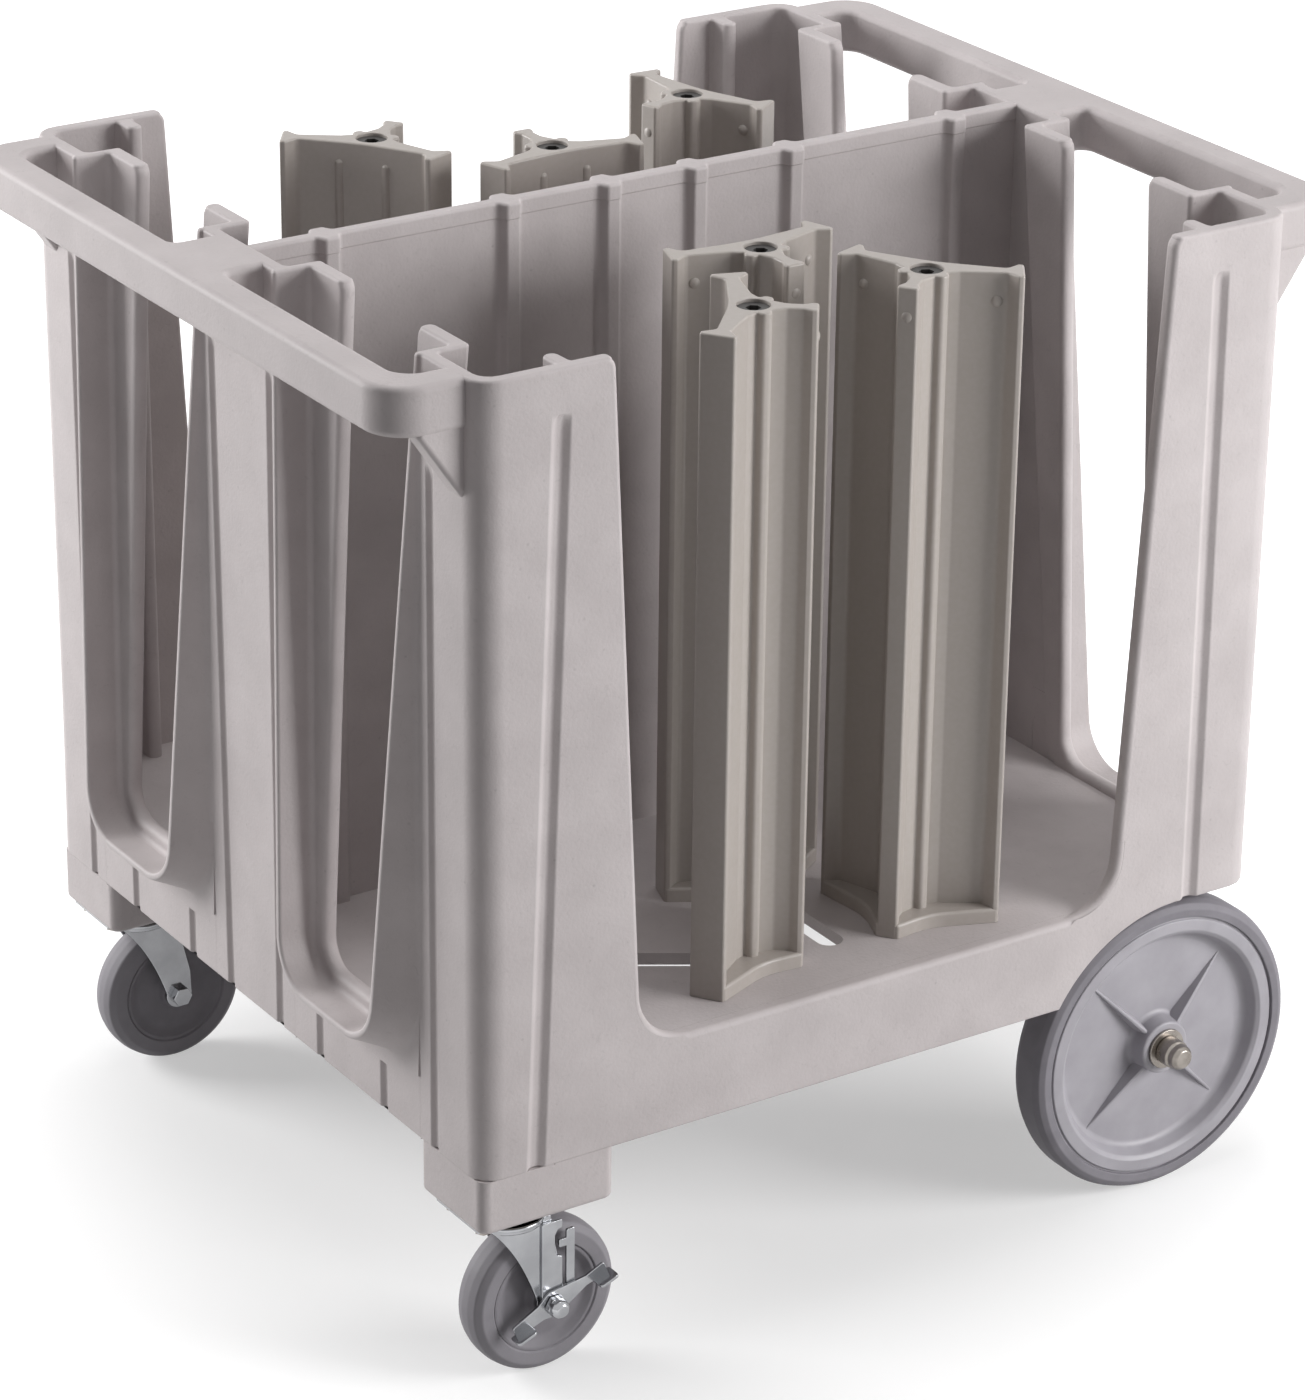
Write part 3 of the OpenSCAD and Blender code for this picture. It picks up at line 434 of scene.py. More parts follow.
# Grooves: half width, depth and upper end in the end walls and in the side walls
END_GROOVE, END_DEPTH, END_TOP = 5.5, 3.2, 742
SIDE_GROOVE, SIDE_DEPTH, SIDE_TOP = 8, 4.2, 790
CORNER_GROOVE_Y = -277
SHORT_GROOVES_Y = (-104, -202)
FRONT_LEAN, REAR_LEAN = 20, 5
# Wheel arch, its top in the rear corner, and where the side skirt meets the corners
ARCH_R = 134
ARCH_TOP = 261
FRONT_JOINT, REAR_JOINT = 298, 286


def tangent(corner, centre, r):
    """Angle and point where the line from a corner touches a circle on its right."""
    d = corner - centre
    a = atan2(d[1], d[0]) - acos(r / np.hypot(*d))
    return a, centre + r * np.array([cos(a), sin(a)])


SLOT_A, SLOT_P = tangent(SLOT_T, SLOT_C, SLOT_R)
SIDE_P = tangent(SIDE_T, SIDE_C, SIDE_R)[1]


def frame_sizes(z):
    """At height z: half width of the slot, depth of the end wall behind the lip, and where the
    slanted flank of the frame meets the wall."""
    d = unit(SLOT_T - SLOT_P)
    half = SLOT_P[0] + d[0] * ((z - SLOT_Z) / CT - SLOT_P[1]) / d[1]
    panel = LIP_LOW - (z - SLOT_Z) * tan(LIP_TILT)
    return half, panel, max(PLUMB - half, 6.5 + 0.30 * panel)


def frame_front(tip, flank, panel, lip_r, flank_r):
    """Corners of a slot frame's front as (distance from the opening, depth behind the lip):
    flange, channel wall, lip, and the flank's foot on the panel."""
    return [(tip, CHANNEL, 5.5), (0, CHANNEL, 5), (0, 0, 2.6), (LIP_W, 0, lip_r),
            (flank, panel, flank_r)]


def slot_profile(flank, reach, panel, sink, flange):
    """The whole section of a slot frame, round its front and its back."""
    back = panel + sink + WALL
    return rounded(frame_front(-flange, flank, panel, 2.4, 9)
                   + [(reach, panel + sink, MEET), (reach, back, MEET),
                      (7, min(back, FLANGE_BACK - 2.5), 0.5), (7, FLANGE_BACK, 4),
                      (-flange, FLANGE_BACK, 5.5)], 5)


def slot_frame():
    """The lower part of a slot frame: its section carried down one leg from the foot of the
    post, round the bottom and up the other leg. On the legs each row is a level cut; round the
    bottom each row stands square to the path."""
    d = unit(SLOT_T - SLOT_P)
    m = np.array([cos(SLOT_A), sin(SLOT_A)])
    down, edge_b, leg_foot = -pi / 2, -18, 318

    def spread(a, b, w):
        """A place a across and b up the slot's leaning plane, and w behind it."""
        return np.stack([-HALF_L - LIP_LOW + w * CT + b * ST, a, SLOT_Z - w * ST + b * CT], 1)

    rows = []
    for z in (POST_Z + 0.05, leg_foot):
        half, panel, flank = frame_sizes(z)
        n, w = slot_profile(flank, flank + 2, panel, 0.8, half - FLANGE_GAP).T
        run = ((z - SLOT_Z + w * ST) / CT - SLOT_P[1] - m[1] * n) / d[1]
        rows.append(spread(*[SLOT_P[k] + m[k] * n + d[k] * run for k in (0, 1)], w))
    first = frame_sizes(leg_foot)[2]
    edge = atan2(edge_b - SLOT_C[1], PLUMB - SLOT_C[0])
    turn = np.r_[np.linspace(SLOT_A, edge, 7), np.linspace(edge, down, 10)[1:], [down] * 3]
    for k, a in enumerate(turn):
        c = SLOT_C - np.array([10 * max(0, k - (len(turn) - 4)), 0])
        out = np.array([cos(a), sin(a)])
        p = c + SLOT_R * out
        u = (a - SLOT_A) / (down - SLOT_A)
        panel = (LIP_LOW - p[1] * ST) / CT
        far = min((PLUMB - p[0]) / out[0] if out[0] > 1e-6 else 1e9,
                  (edge_b - p[1]) / out[1] if out[1] < -1e-6 else 1e9)
        flank = min(first * (1 - u) + 16 * u, far - 0.6)
        n, w = slot_profile(flank, far, panel, 0, 16 - 3 * u).T
        rows.append(spread(p[0] + out[0] * n, p[1] + out[1] * n, w))
    return solid(rows + [q * (1, -1, 1) for q in rows[:-1][::-1]])


def fade(z, top, length=10):
    """1 below a groove's end and nearly 0 above it, rounded over its last millimetres."""
    return float(np.sqrt(np.clip((top - z) / length, 1e-4, 1)))


def end_channel(y, depth, way=-1):
    """Corners of a soft upright groove in the end wall, crossed in a given way along y."""
    x, h = -HALF_L, way * END_GROOVE
    return [(x, y - h, 2.5), (x + depth, y - 0.4 * h, 3), (x + depth, y + 0.4 * h, 3),
            (x, y + h, 2.5)]


def corner_outside(z, lean, end_depth=END_DEPTH, side_depth=SIDE_DEPTH):
    """Outer corners of the front near corner at height z: the end wall's groove, the rounded
    corner and the side wall's wide groove, which leans by so many millimetres."""
    x, y, h = -294 - lean * (788 - z) / 575, -HALF_W, SIDE_GROOVE
    return end_channel(CORNER_GROOVE_Y, end_depth) + [
        (-HALF_L, -HALF_W, CORNER_R), (x - h, y, 3.5), (x - 0.35 * h, y + side_depth, 5),
        (x + 0.35 * h, y + side_depth, 5), (x + h, y, 3.5)]


def top_drop(z, r=9):
    """How far an upright edge draws back near the top, which rounds its upper corner by radius r:
    r - sqrt(r^2 - h^2), at a height h above the start of the rounding."""
    return r - sqrt(r * r - max(0, z - (TOP_Z - r)) ** 2)


def side_edge(z):
    """Where the side opening's edge is at height z, and its normal towards the opening."""
    if z >= SIDE_P[1]:
        d = unit(SIDE_T - SIDE_P)
        return -SIDE_P[0] - d[0] * (z - SIDE_P[1]) / d[1], (d[1], d[0])
    h = SIDE_C[1] - z
    run = sqrt(max(SIDE_R ** 2 - h * h, 0))
    return -SIDE_C[0] - run, (run / SIDE_R, h / SIDE_R)


def corner_plan(z, lean, x, r):
    """Plan corners of the front near corner at height z, from the slot frame to a place x on the
    side wall, and back along the inner faces."""
    return ([(-HALF_L, -FRAME_OUT, MEET)] + corner_outside(z, lean)
            + [(x, -HALF_W, r), (x, SIDE_IN, r), (END_IN, SIDE_IN, WALL),
               (END_IN, -FRAME_OUT, MEET)])


def corner_loop(z, lean):
    """Plan outline of the foot of a corner post at height z, with the rounded edge of the side
    opening in place of the plan's fourth corner from the end."""
    x, normal = side_edge(z)
    corners = corner_plan(z, lean, x - 6, MEET)
    loop = level(rounded(corners, 5), z)
    t = np.linspace(0, pi / 2, 6)
    off = np.r_[5 * np.sin(t) - 5, 4 * np.cos(t) - 4]
    depth = np.r_[5 - 5 * np.cos(t), WALL - 4 + 4 * np.sin(t)]
    edge = np.stack([x + off * normal[0], -HALF_W + depth, z + off * normal[1]], 1)
    cut = 5 * (len(corners) - 3)
    return np.concatenate([loop[:cut], edge, loop[cut + 5:]])


def corner_panel(lean):
    """Foot of the front near corner post, where the side opening's edge turns into the sill."""
    zs = np.r_[DECK_Z + SIDE_R * (1 - np.cos(np.linspace(0, pi / 2, 12))), POST_Z + 0.05]
    rows = [corner_loop(z, lean) for z in zs]
    low = rows[0].copy()
    low[:, 2] = np.minimum(low[:, 2], FOOT_Z)
    return solid([low] + rows)


def post_frame(z, slot_y, way, flank_r):
    """Front and back corners in plan of a post's half of a slot frame at height z, in the given
    way along y from the slot's middle at slot_y."""
    half, panel, flank = frame_sizes(z)
    tip = FLANGE_GAP - half + top_drop(z)
    deep = max(FLANGE_BACK, panel + WALL + 0.6)

    def at(n, w, r):
        """A corner n from the opening and w behind the lip."""
        return (-HALF_L - panel + w, slot_y + way * (half + n), r)
    front = [at(*q) for q in frame_front(tip, flank, panel, 2.6, flank_r)]
    return front, [at(7.5, panel + WALL, 5), at(7, deep, 4), at(tip, deep, 5.5)]


def row_at(corners, z):
    """The row of points at height z of a part whose corners are a function of the height."""
    return level(turned_left(rounded(corners(z), 5)), z)


def post_levels(corners):
    """A post to the top rim: outlines at many heights, insets of the last one round the rim, and
    a flat top."""
    zs = np.r_[POST_Z, np.linspace(345, 720, 7), np.linspace(728, 744, 6), 764,
               np.linspace(776, 790, 6), 806, 815, 818, 820, TOP_Z - RIM]
    rows = [row_at(corners, z) for z in zs]
    top = rows[-1][:, :2]
    normal = outward(top)
    for t in np.linspace(0, pi / 2, 5)[1:]:
        rows.append(level(top - normal * RIM * (1 - cos(t)), TOP_Z - RIM + RIM * sin(t)))
    v, faces = solid(rows)
    walls = [f for f in faces if len(f) == 4 or max(f) < len(top)]
    return [(v, walls), flat_face(rows[-1][:, :2], [], TOP_Z)]


def corner_post(lean):
    """Front near corner post with its half of the slot frame, as one upright section."""
    def corners(z):
        """Frame, grooves and corner, then the side opening's edge and the inner corner."""
        front, back = post_frame(z, -SLOT_Y, -1, 6)
        x = side_edge(z)[0] - top_drop(z)
        return (front + corner_outside(z, lean, END_DEPTH * fade(z, END_TOP),
                                       SIDE_DEPTH * fade(z, SIDE_TOP))
                + [(x, -HALF_W, 5), (x, SIDE_IN, 4), (END_IN, SIDE_IN, WALL)] + back)
    return post_levels(corners)


def centre_grooves(z, depth, ways):
    """Corners of the two grooves of the centre panel, crossed in the given order. They lean
    apart upwards."""
    y = 40 + 5 * (z - SKIRT_Z) / 540
    return [q for way in ways for q in end_channel(way * y, depth, ways[1])]


def centre_post():
    """Front centre post: the panel between the slots with a half of each slot frame."""
    def corners(z):
        """Near frame, grooves, and the far frame in the opposite order."""
        front, back = post_frame(z, -SLOT_Y, 1, 9)
        far_front, far_back = post_frame(z, SLOT_Y, -1, 9)
        return (front + centre_grooves(z, END_DEPTH * fade(z, END_TOP), (-1, 1))
                + far_front[::-1] + far_back[::-1] + back)
    return post_levels(corners)


def lofted(corners, z0, z1, r0, joints):
    """A solid lofted between two heights, with its lower edge rounded by radius r0. A joint is
    an axis and a place on it where the next part follows on, which the rounding leaves alone."""
    first = row_at(corners, z0)[:, :2]
    normal = outward(first)
    rows = []
    for t in np.linspace(pi / 2, 0, 5):
        q = first - normal * r0 * (1 - cos(t))
        for axis, place in joints:
            q[:, axis] = np.where(abs(first[:, axis] - place) < 0.25, first[:, axis], q[:, axis])
        rows.append(level(q, z0 + r0 - r0 * sin(t)))
    return solid(rows + [row_at(corners, z1)])


def lower_corner(z0, lean, joint):
    """The corner of the skirt below the post, from the end wall round to the side skirt's
    joint."""
    return lofted(lambda z: corner_plan(z, lean, joint, 0.02), z0, FOOT_Z,
                  min(EDGE_R, (FOOT_Z - z0) / 3), ((0, joint), (1, -FRAME_OUT)))


def end_panel(y0, y1, z0, z1, grooves, r0):
    """A part of the end wall from y0 down to y1, with the grooves that it has at each height and
    a rounded lower edge."""
    def corners(z):
        """Front with its grooves, then straight to the inner face and back."""
        return [(-HALF_L, y0, MEET)] + grooves(z) + [
            (-HALF_L, y1, MEET), (END_IN, y1, MEET), (END_IN, y0, MEET)]
    return lofted(corners, z0, z1, r0, ((1, y0), (1, y1)))


def end_panels():
    """The end wall under a near slot: a part with two short grooves, and a plain part above."""
    groove_top, slot_foot, flat = 236, 250.2, 0.02

    def panel(z0, z1, depth, r0):
        """The part from z0 to z1 with grooves of one depth."""
        grooves = [q for y in SHORT_GROOVES_Y for q in end_channel(y, depth)]
        return end_panel(-FRAME_IN, -FRAME_OUT, z0, z1, lambda z: grooves, r0)
    return [panel(SKIRT_Z, groove_top, END_DEPTH, EDGE_R), panel(groove_top, slot_foot, flat, flat)]


def inner_rib():
    """The upright rib inside the side wall, between the corner and the side opening. Its foot
    lies 7 mm deep in the wall."""
    y, tip = SIDE_IN, SIDE_IN + 22
    plan = rounded([(-299, y - 7, 3), (-271, y - 7, 3), (-278.5, y + 3, 7), (-279, tip, 5.5),
                    (-291, tip, 5.5), (-291.5, y + 3, 7)], 6)
    return slab(plan, DECK_Z - 1, TOP_Z - 0.8, 0, 2.6, 5)


def side_skirt():
    """Near side skirt with the sill's rounded edge: its section carried along the cart, with
    its lower edge along the wheel arch."""
    start = AXLE_X - sqrt(ARCH_R ** 2 - (SKIRT_Z - WHEEL_R) ** 2)
    a = np.linspace(*[acos((end - AXLE_X) / ARCH_R) for end in (start, REAR_JOINT)], 20)
    x = np.r_[-FRONT_JOINT, -200, -100, 0, 100, start - 0.02, AXLE_X + ARCH_R * np.cos(a)]
    low = np.r_[[SKIRT_Z] * 6, WHEEL_R + ARCH_R * np.sin(a)]
    rows = []
    for place, z in zip(x, low):
        q = rounded([(-HALF_W, z, min(EDGE_R, (FOOT_Z - z) / 2)), (-HALF_W, DECK_Z, 5),
                     (SIDE_IN, DECK_Z, MEET), (SIDE_IN, z, 2)], 6)
        rows.append(np.c_[np.full(len(q), place), q])
    return solid(rows)


def arch_corner():
    """The rear end wall beside the wheel, below the corner that ends above the arch."""
    plan = [(-HALF_L, -FRAME_OUT, MEET), (-HALF_L, -283, 3), (END_IN, -283, 3),
            (END_IN, -FRAME_OUT, MEET)]
    return slab(rounded(plan, 4), SKIRT_Z, ARCH_TOP - 0.1, EDGE_R)


def slot_hole(x0, y0, x1, y1, r=11):
    """Outline of a deck slot: two half circles joined by straight sides, anticlockwise."""
    a = degrees(atan2(y1 - y0, x1 - x0))
    return np.concatenate([arc(x1, y1, r, a - 90, a + 90, 13),
                           arc(x0, y0, r, a + 90, a + 270, 13)])


def deck(s):
    """Half of the deck on side s (-1 near, 1 far): walls round it and round its slots, whose
    faces look into the slot, and flat faces."""
    x, (y0, y1) = HALF_L - WALL, sorted((0, s * (HALF_W - WALL)))
    outer = np.array([[-x, y0], [x, y0], [x, y1], [-x, y1]])
    holes = [slot_hole(xa, s * ya, xb, s * yb) for xa, ya, xb, yb in DECK_SLOTS]
    low = DECK_Z - DECK_T
    walls = [slab(q, low, DECK_Z, caps=(False, False)) for q in [outer] + holes]
    return (walls[:1] + [(v, [f[::-1] for f in faces]) for v, faces in walls[1:]]
            + [flat_face(outer, holes, DECK_Z), flat_face(outer, holes, low, False)])


def body_parts():
    """All the moulded parts of the open box: deck, skirts, posts and slot frames."""
    parts = []
    for far in (False, True):
        parts += deck(1 if far else -1)
        for rear in (False, True):
            lean = REAR_LEAN if rear else FRONT_LEAN
            group = [moved(slot_frame(), y=-SLOT_Y), corner_panel(lean),
                     lower_corner(ARCH_TOP if rear else SKIRT_Z, lean,
                                  -(REAR_JOINT if rear else FRONT_JOINT))]
            group += corner_post(lean) + end_panels() + [inner_rib()]
            if rear:
                group.append(arch_corner())
            parts += [mirrored(q, far, rear) for q in group]
        parts.append(mirrored(side_skirt(), far))
    centre = end_panel(FRAME_IN, -FRAME_IN, SKIRT_Z, POST_Z + 0.05,
                       lambda z: centre_grooves(z, END_DEPTH, (1, -1)), EDGE_R)
    middle = [centre] + centre_post()
    return parts + middle + [mirrored(q, False, True) for q in middle]


def handle_rail():
    """Front handle: its bar, returns and centre web as one plan with rounded edges, and a gusset
    under each return."""
    root, front, back = -HALF_L + 7.5, -HALF_L - 63, -HALF_L - 33
    web, inside, outside, low = 40, 296, 326, TOP_Z - 38
    one = [(root, web, 7), (back, web, 7), (back, inside, 18), (root, inside, 7),
           (root, outside, 7), (front, outside, 50)]
    plan = turned_left(rounded(one + [(x, -y, r) for x, y, r in one[::-1]], 12))
    r0, r1 = 6.5, 5.5
    parts = [slab(plan, low, TOP_Z, r0, r1, 5, (False, False)),
             flat_face(plan - outward(plan) * r1, [], TOP_Z),
             flat_face(plan - outward(plan) * r0, [], low, False)]
    side = rounded([(-HALF_L + 10, low - 66, 4.4), (-HALF_L + 10, low + 22, 4.4),
                    (-HALF_L - 28, low + 22, 4.4), (-HALF_L - 36, low, 4.4)], 5)
    gusset = swapped(slab(side, -12, 12, 4.2, 4.2, 5), (0, 2, 1))
    return parts + [moved(gusset, y=-312), moved(gusset, y=312)]


def divider():
    """Centre divider: six ribs on each face, a slightly thicker lip on top, a rounded edge."""
    end, face, ridge, lip, r = HALF_L - WALL + 3, 6, 14, 0.9, 2.6
    one = [(-end, -face, 3)]
    for x in (-289, -131, -40, 40, 131, 289):
        one += [(x - 10, -face, 4), (x - 6, -ridge, 3.5), (x + 6, -ridge, 3.5),
                (x + 10, -face, 4)]
    one.append((end, -face, 3))
    plan = turned_left(rounded(one + [(-x, -y, q) for x, y, q in one], 5))
    normal = outward(plan)
    wall = [(lip, DECK_Z - 1), (lip, TOP_Z - 13.5), (0, TOP_Z - 12.2), (0, TOP_Z - r)]
    wall += [(r - r * cos(t), TOP_Z - r + r * sin(t)) for t in np.linspace(0.3, pi / 2, 5)]
    rows = [level(plan - normal * inset, z) for inset, z in wall]
    return [sheet(np.stack(rows), (True, False)), flat_face(plan - normal * r, [], TOP_Z)]


def caster_block():
    """Near caster block: the rounded block below the skirt and its narrower top inside."""
    def box(x, y, r):
        """A rectangle of half sizes x and y with corners of radius r."""
        return rounded([(-x, -y, r), (x, -y, r), (x, y, r), (-x, y, r)], 8)
    x, y, low = 59, 45.5, 150
    place = (-HALF_L + x + 2, -HALF_W + y + 2)
    return [moved(slab(box(x, y, 9), low, SKIRT_Z + 0.3, 5, 0, 5), *place),
            moved(slab(box(x - WALL, y - WALL, 4), SKIRT_Z, DECK_Z - DECK_T), *place)]


BODY_NODES = [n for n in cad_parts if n.endswith(("_skirt", "_corner", "_centre_post"))
              or n.startswith("deck_")]
for name, parts, nodes in (
        ("moulded_body", body_parts(), BODY_NODES),
        ("front_handle", handle_rail(), ["front_handle_rail"]),
        ("rear_handle", [mirrored(q, False, True) for q in handle_rail()], ["rear_handle_rail"]),
        ("divider_wall", divider(), ["centre_divider"]),
        ("near_block", caster_block(), ["near_caster_block"]),
        ("far_block", [mirrored(q) for q in caster_block()], ["far_caster_block"])):
    piece(name, parts, FOAM, "cart", nodes, 30)


# Towers, drawn about their own axis with the hollow front towards +x

ARM_ANGLE = 72
ARM_REACH = 73
BACK_REACH = 48
ARM_T = 5.5
HOLE_R = 12.8
MARK_DROP = 23


def corner_at(angle, u, w, r):
    """A corner u along the direction of an angle in degrees and w across it."""
    c, s = cos(radians(angle)), sin(radians(angle))
    return (u * c - w * s, u * s + w * c, r)


def arm(angle, reach, tip, tip_from):
    """Corners of one arm in order across its end: root, underside of the tip, tip and back."""
    half = [(25, ARM_T, 7), (tip_from, ARM_T, 6), (reach - 4.5, tip, 1.8),
            (reach, tip - 0.6, 2.2)]
    return ([corner_at(angle, u, -w, r) for u, w, r in half]
            + [corner_at(angle, u, w, r) for u, w, r in half[::-1]])


def tower_outline():
    """Plan of a tower: two long arms beside a hollow front, a short arm behind, and a half-round
    rib in each rear hollow."""
    def rib(s):
        """Corners of the rib in the hollow on side s, behind that side's long arm."""
        return [corner_at(s * a, u, 0, r) for a, u, r in
                ((102, 17.2, 1.6), (112, 22.4, 4), (131, 22.4, 4), (141, 17.2, 1.6))][::s]
    left, right = (arm(s * ARM_ANGLE, ARM_REACH, 14.5, 60) for s in (1, -1))
    return rounded([(18, 0, 150)] + left[1:] + rib(1) + arm(180, BACK_REACH, 8.5, 37)
                   + rib(-1) + right[:-1], 7)


def foot_outline():
    """Plan of the foot flange: the ends of the arms joined by wide hollow curves."""
    out, back = ARM_REACH - 0.4, BACK_REACH - 0.2
    return rounded([(30, 0, 80)] + [corner_at(*q) for q in (
        (ARM_ANGLE, out, -14.2, 3), (ARM_ANGLE, out, 14.2, 3), (126, 33, 0, 60),
        (180, back, -9.2, 3), (180, back, 9.2, 3), (-126, 33, 0, 60),
        (-ARM_ANGLE, out, -14.2, 3), (-ARM_ANGLE, out, 14.2, 3))], 12)


def top_with_hole(outline, z, r, depth):
    """Flat top face inside an outline with a round hole, and the hole's wall down to a floor,
    its mouth rounded."""
    rows = circles([r + 1, r + 0.3, r, r, 0.1], [z, z - 0.3, z - 1, z - depth, z - depth], 48)
    return [flat_face(outline, [rows[0, :, :2]], z), sheet(rows, (False, True))]


def round_rib(r, z0, z1):
    """Upright round rib with a domed top, to be partly sunk in the face that carries it."""
    t = np.linspace(0, pi / 2, 6)[1:-1]
    return sheet(circles(np.r_[r, r, r * np.cos(t), 0.15],
                         np.r_[z0, z1 - r, z1 - r + r * np.sin(t), z1], 20), (True, True))


def make_tower(k):
    """A tower: its plan raised to a rounded rim, the foot flange, a domed rib on the rear face of
    each long arm, and small round marks near the top."""
    x, y, turn = TOWERS[k]
    outline = tower_outline()
    base, rim, foot = DECK_Z + 0.3, 1.8, 12
    mark_z = TOWER_TOP - MARK_DROP
    parts = [slab(outline, base, TOWER_TOP, 0, rim, caps=(True, False)),
             slab(foot_outline(), base, base + foot, 0, 2.6)]
    parts += top_with_hole(outline - outward(outline) * rim, TOWER_TOP, HOLE_R, 12)
    for s in (-1, 1):
        a = radians(ARM_ANGLE * s)
        along = np.array([cos(a), sin(a), 0])
        across = np.array([sin(a), -cos(a), 0]) * s
        parts.append(moved(round_rib(4.2, base + foot - 1, TOWER_TOP - 14),
                           *(along * 25 + across * 10.6)))
        parts.append(stood(dome(4.6, 2.4), along, -across,
                           along * 53 - across * 5 + (0, 0, mark_z)))
    parts.append(stood(dome(4.6, 2.2), (0, 1, 0), (-1, 0, 0), (1 - BACK_REACH, 0, mark_z)))
    piece("tower_%d_shell" % k, [moved(p, x, y, 0, turn) for p in parts], TOWER,
          "tower_%d_post" % k, ["tower_%d" % k])


for k in TOWERS:
    make_tower(k)


# Wheels and casters, drawn on an axle along z that points outwards from the near side. Parts
# that fit over or beside another take their place from the same value and a small clearance.

BORE_R = 8.1
HUB_HALF = 20
TYRE_SEAT = 113
WASHER_T = 2.6
CORE_BORE = 5.2
TREAD_SEAT = 45.5
FORK_IN, FORK_T, FORK_HIGH = 19, 3, 75.5
STRAP_Z, STRAP_T = FORK_IN + FORK_T + 0.15, 2.3
LEVER_Z, LEVER_T = STRAP_Z + STRAP_T + 0.25, 2.5
NUT_Z, NUT_T = LEVER_Z + LEVER_T + 0.7, 5.5


def on_axle(part, x, y, z):
    """A part drawn on an axle along z, set on the near side with that axle along -y."""
    return moved(swapped(part, (0, 2, 1), (1, -1, 1)), x, y, z)


def both_faces(corners, n=96):
    """A turned ring from the corners for z > 0, bore first, with their mirror image below."""
    return [turned(corners + [(r, -z, c) for r, z, c in corners[::-1]], n)]


def web_rib(angle, side):
    """A pointed rib on the web of a wheel: it falls in a straight line from the hub and narrows
    with its height."""
    s = np.linspace(0, 1, 8)[:, None]
    hub, length, web, rise, sunk = 20, 73, 3.4, 12.5, 2
    h = web + rise * (1 - s)
    shoulder = h - 0.7 * (1 - 0.6 * s)
    foot, top = 1.4 + 3.4 * (1 - s), 0.5 + 1 * (1 - s)
    w = np.concatenate([-foot, -top - 0.3, -top * 0.4, top * 0.4, top + 0.3, foot], 1)
    z = np.concatenate([sunk + 0 * s, shoulder, h, h, shoulder, sunk + 0 * s], 1)
    return moved(solid(np.stack([hub + length * s + 0 * w, w, side * z], 2)), turn=angle)


def wheel_disc():
    """Disc of a rear wheel: hub, sunk web, raised rim with a rounded inner wall, and ribs."""
    section = [(BORE_R, HUB_HALF, 0.8), (22.5, HUB_HALF, 2.2), (24.5, 4, 5),
               (93, 3.4, 7), (98, 14.5, 5), (101.5, 17, 2.5), (110.8, 17, 1.2),
               (111.6, 15.2, 0.8), (TYRE_SEAT - 0.1, 15.2, 0.2)]
    return both_faces(section, 128) + [web_rib(45 + 90 * k, side)
                                       for k in range(4) for side in (1, -1)]


def wheel_tyre():
    """Tyre of a rear wheel, with flat walls and rounded shoulders."""
    section = [(TYRE_SEAT, 15, 0.2), (TYRE_SEAT + 0.4, 17.6, 0.8), (120, 18, 3),
               (124.6, 15.2, 3), (WHEEL_R, 9.5, 4)]
    return both_faces(section, 128)


def washers():
    """Washers on both faces of a wheel's hub."""
    z = HUB_HALF + 0.2
    return [turned([(8.2, low, 0.4), (17, low, 0.6), (17, low + WASHER_T, 0.6),
                    (8.2, low + WASHER_T, 0.4)], 64, 4) for low in (z, -z - WASHER_T)]


def cap_nut():
    """Cap nut on the end of the rear axle, with a flat rounded end."""
    low, neck, end = HUB_HALF + WASHER_T + 0.5, 41.5, 44.9
    return [turned([(BORE_R, low, 0.2), (11.9, low, 0.8), (11.9, 34.6, 1.6), (10.3, 36.4, 1.4),
                    (10.1, neck, 2.5), (7.6, end, 2), (0.02, end, 0.01), (0.02, neck, 0.1),
                    (BORE_R, neck, 0.3)], 64)]


def caster_core():
    """Dished core of a caster wheel, with its hub."""
    return both_faces([(CORE_BORE, 17.6, 0.6), (12.6, 17.6, 1.6), (15.5, 11, 5),
                       (36, 9.6, 9), (43, 14.6, 2.6), (TREAD_SEAT - 0.2, 14.6, 0.3)])


def caster_tread():
    """Tread of a caster wheel, crowned over its width."""
    return both_faces([(TREAD_SEAT, 14.2, 0.2), (TREAD_SEAT + 1.1, 15.6, 1),
                       (56.5, 15.8, 3.5), (61.8, 11.6, 4), (CASTER_R - 0.1, 4, 12)])


def fork_leg(z0):
    """One leg of the fork: a plate whose rear edge is a hollow curve, the quadratic curve
    through (1-t)^2 a + 2 t (1-t) b + t^2 c, down to a round end about the axle."""
    t = np.linspace(0, 1, 14)[:, None]
    a, b, c = np.array([[-53, FORK_HIGH], [-27, 50], [-11.6, 2.5]])
    curve = (1 - t) ** 2 * a + 2 * t * (1 - t) * b + t ** 2 * c
    front = np.array([[11, 20], [4, 50], [0, FORK_HIGH]])
    outline = np.concatenate([curve, arc(0, 0, 12, 168, 372, 20), front])
    return slab(outline, z0, z0 + FORK_T, 0.8, 0.8, 3)


def fork_crown():
    """Crown of the fork, upright: a round plate about the swivel that widens to the legs, and a
    raised ring for the bearing."""
    high, half = FORK_HIGH + 0.9, FORK_IN + FORK_T
    plan = np.concatenate([arc(-TRAIL, 0, 30, 65, 295, 30),
                           rounded([(-8, -half, 4), (0.5, -half, 3), (0.5, half, 3),
                                    (-8, half, 4)], 5)])
    ring = [(22, 70, 1), (29, 70, 2.5), (30, high, 1.5), (22, high, 1)]
    return [slab(plan, high - FORK_T, high, 1, 1, 3), moved(turned(ring, 64), -TRAIL)]


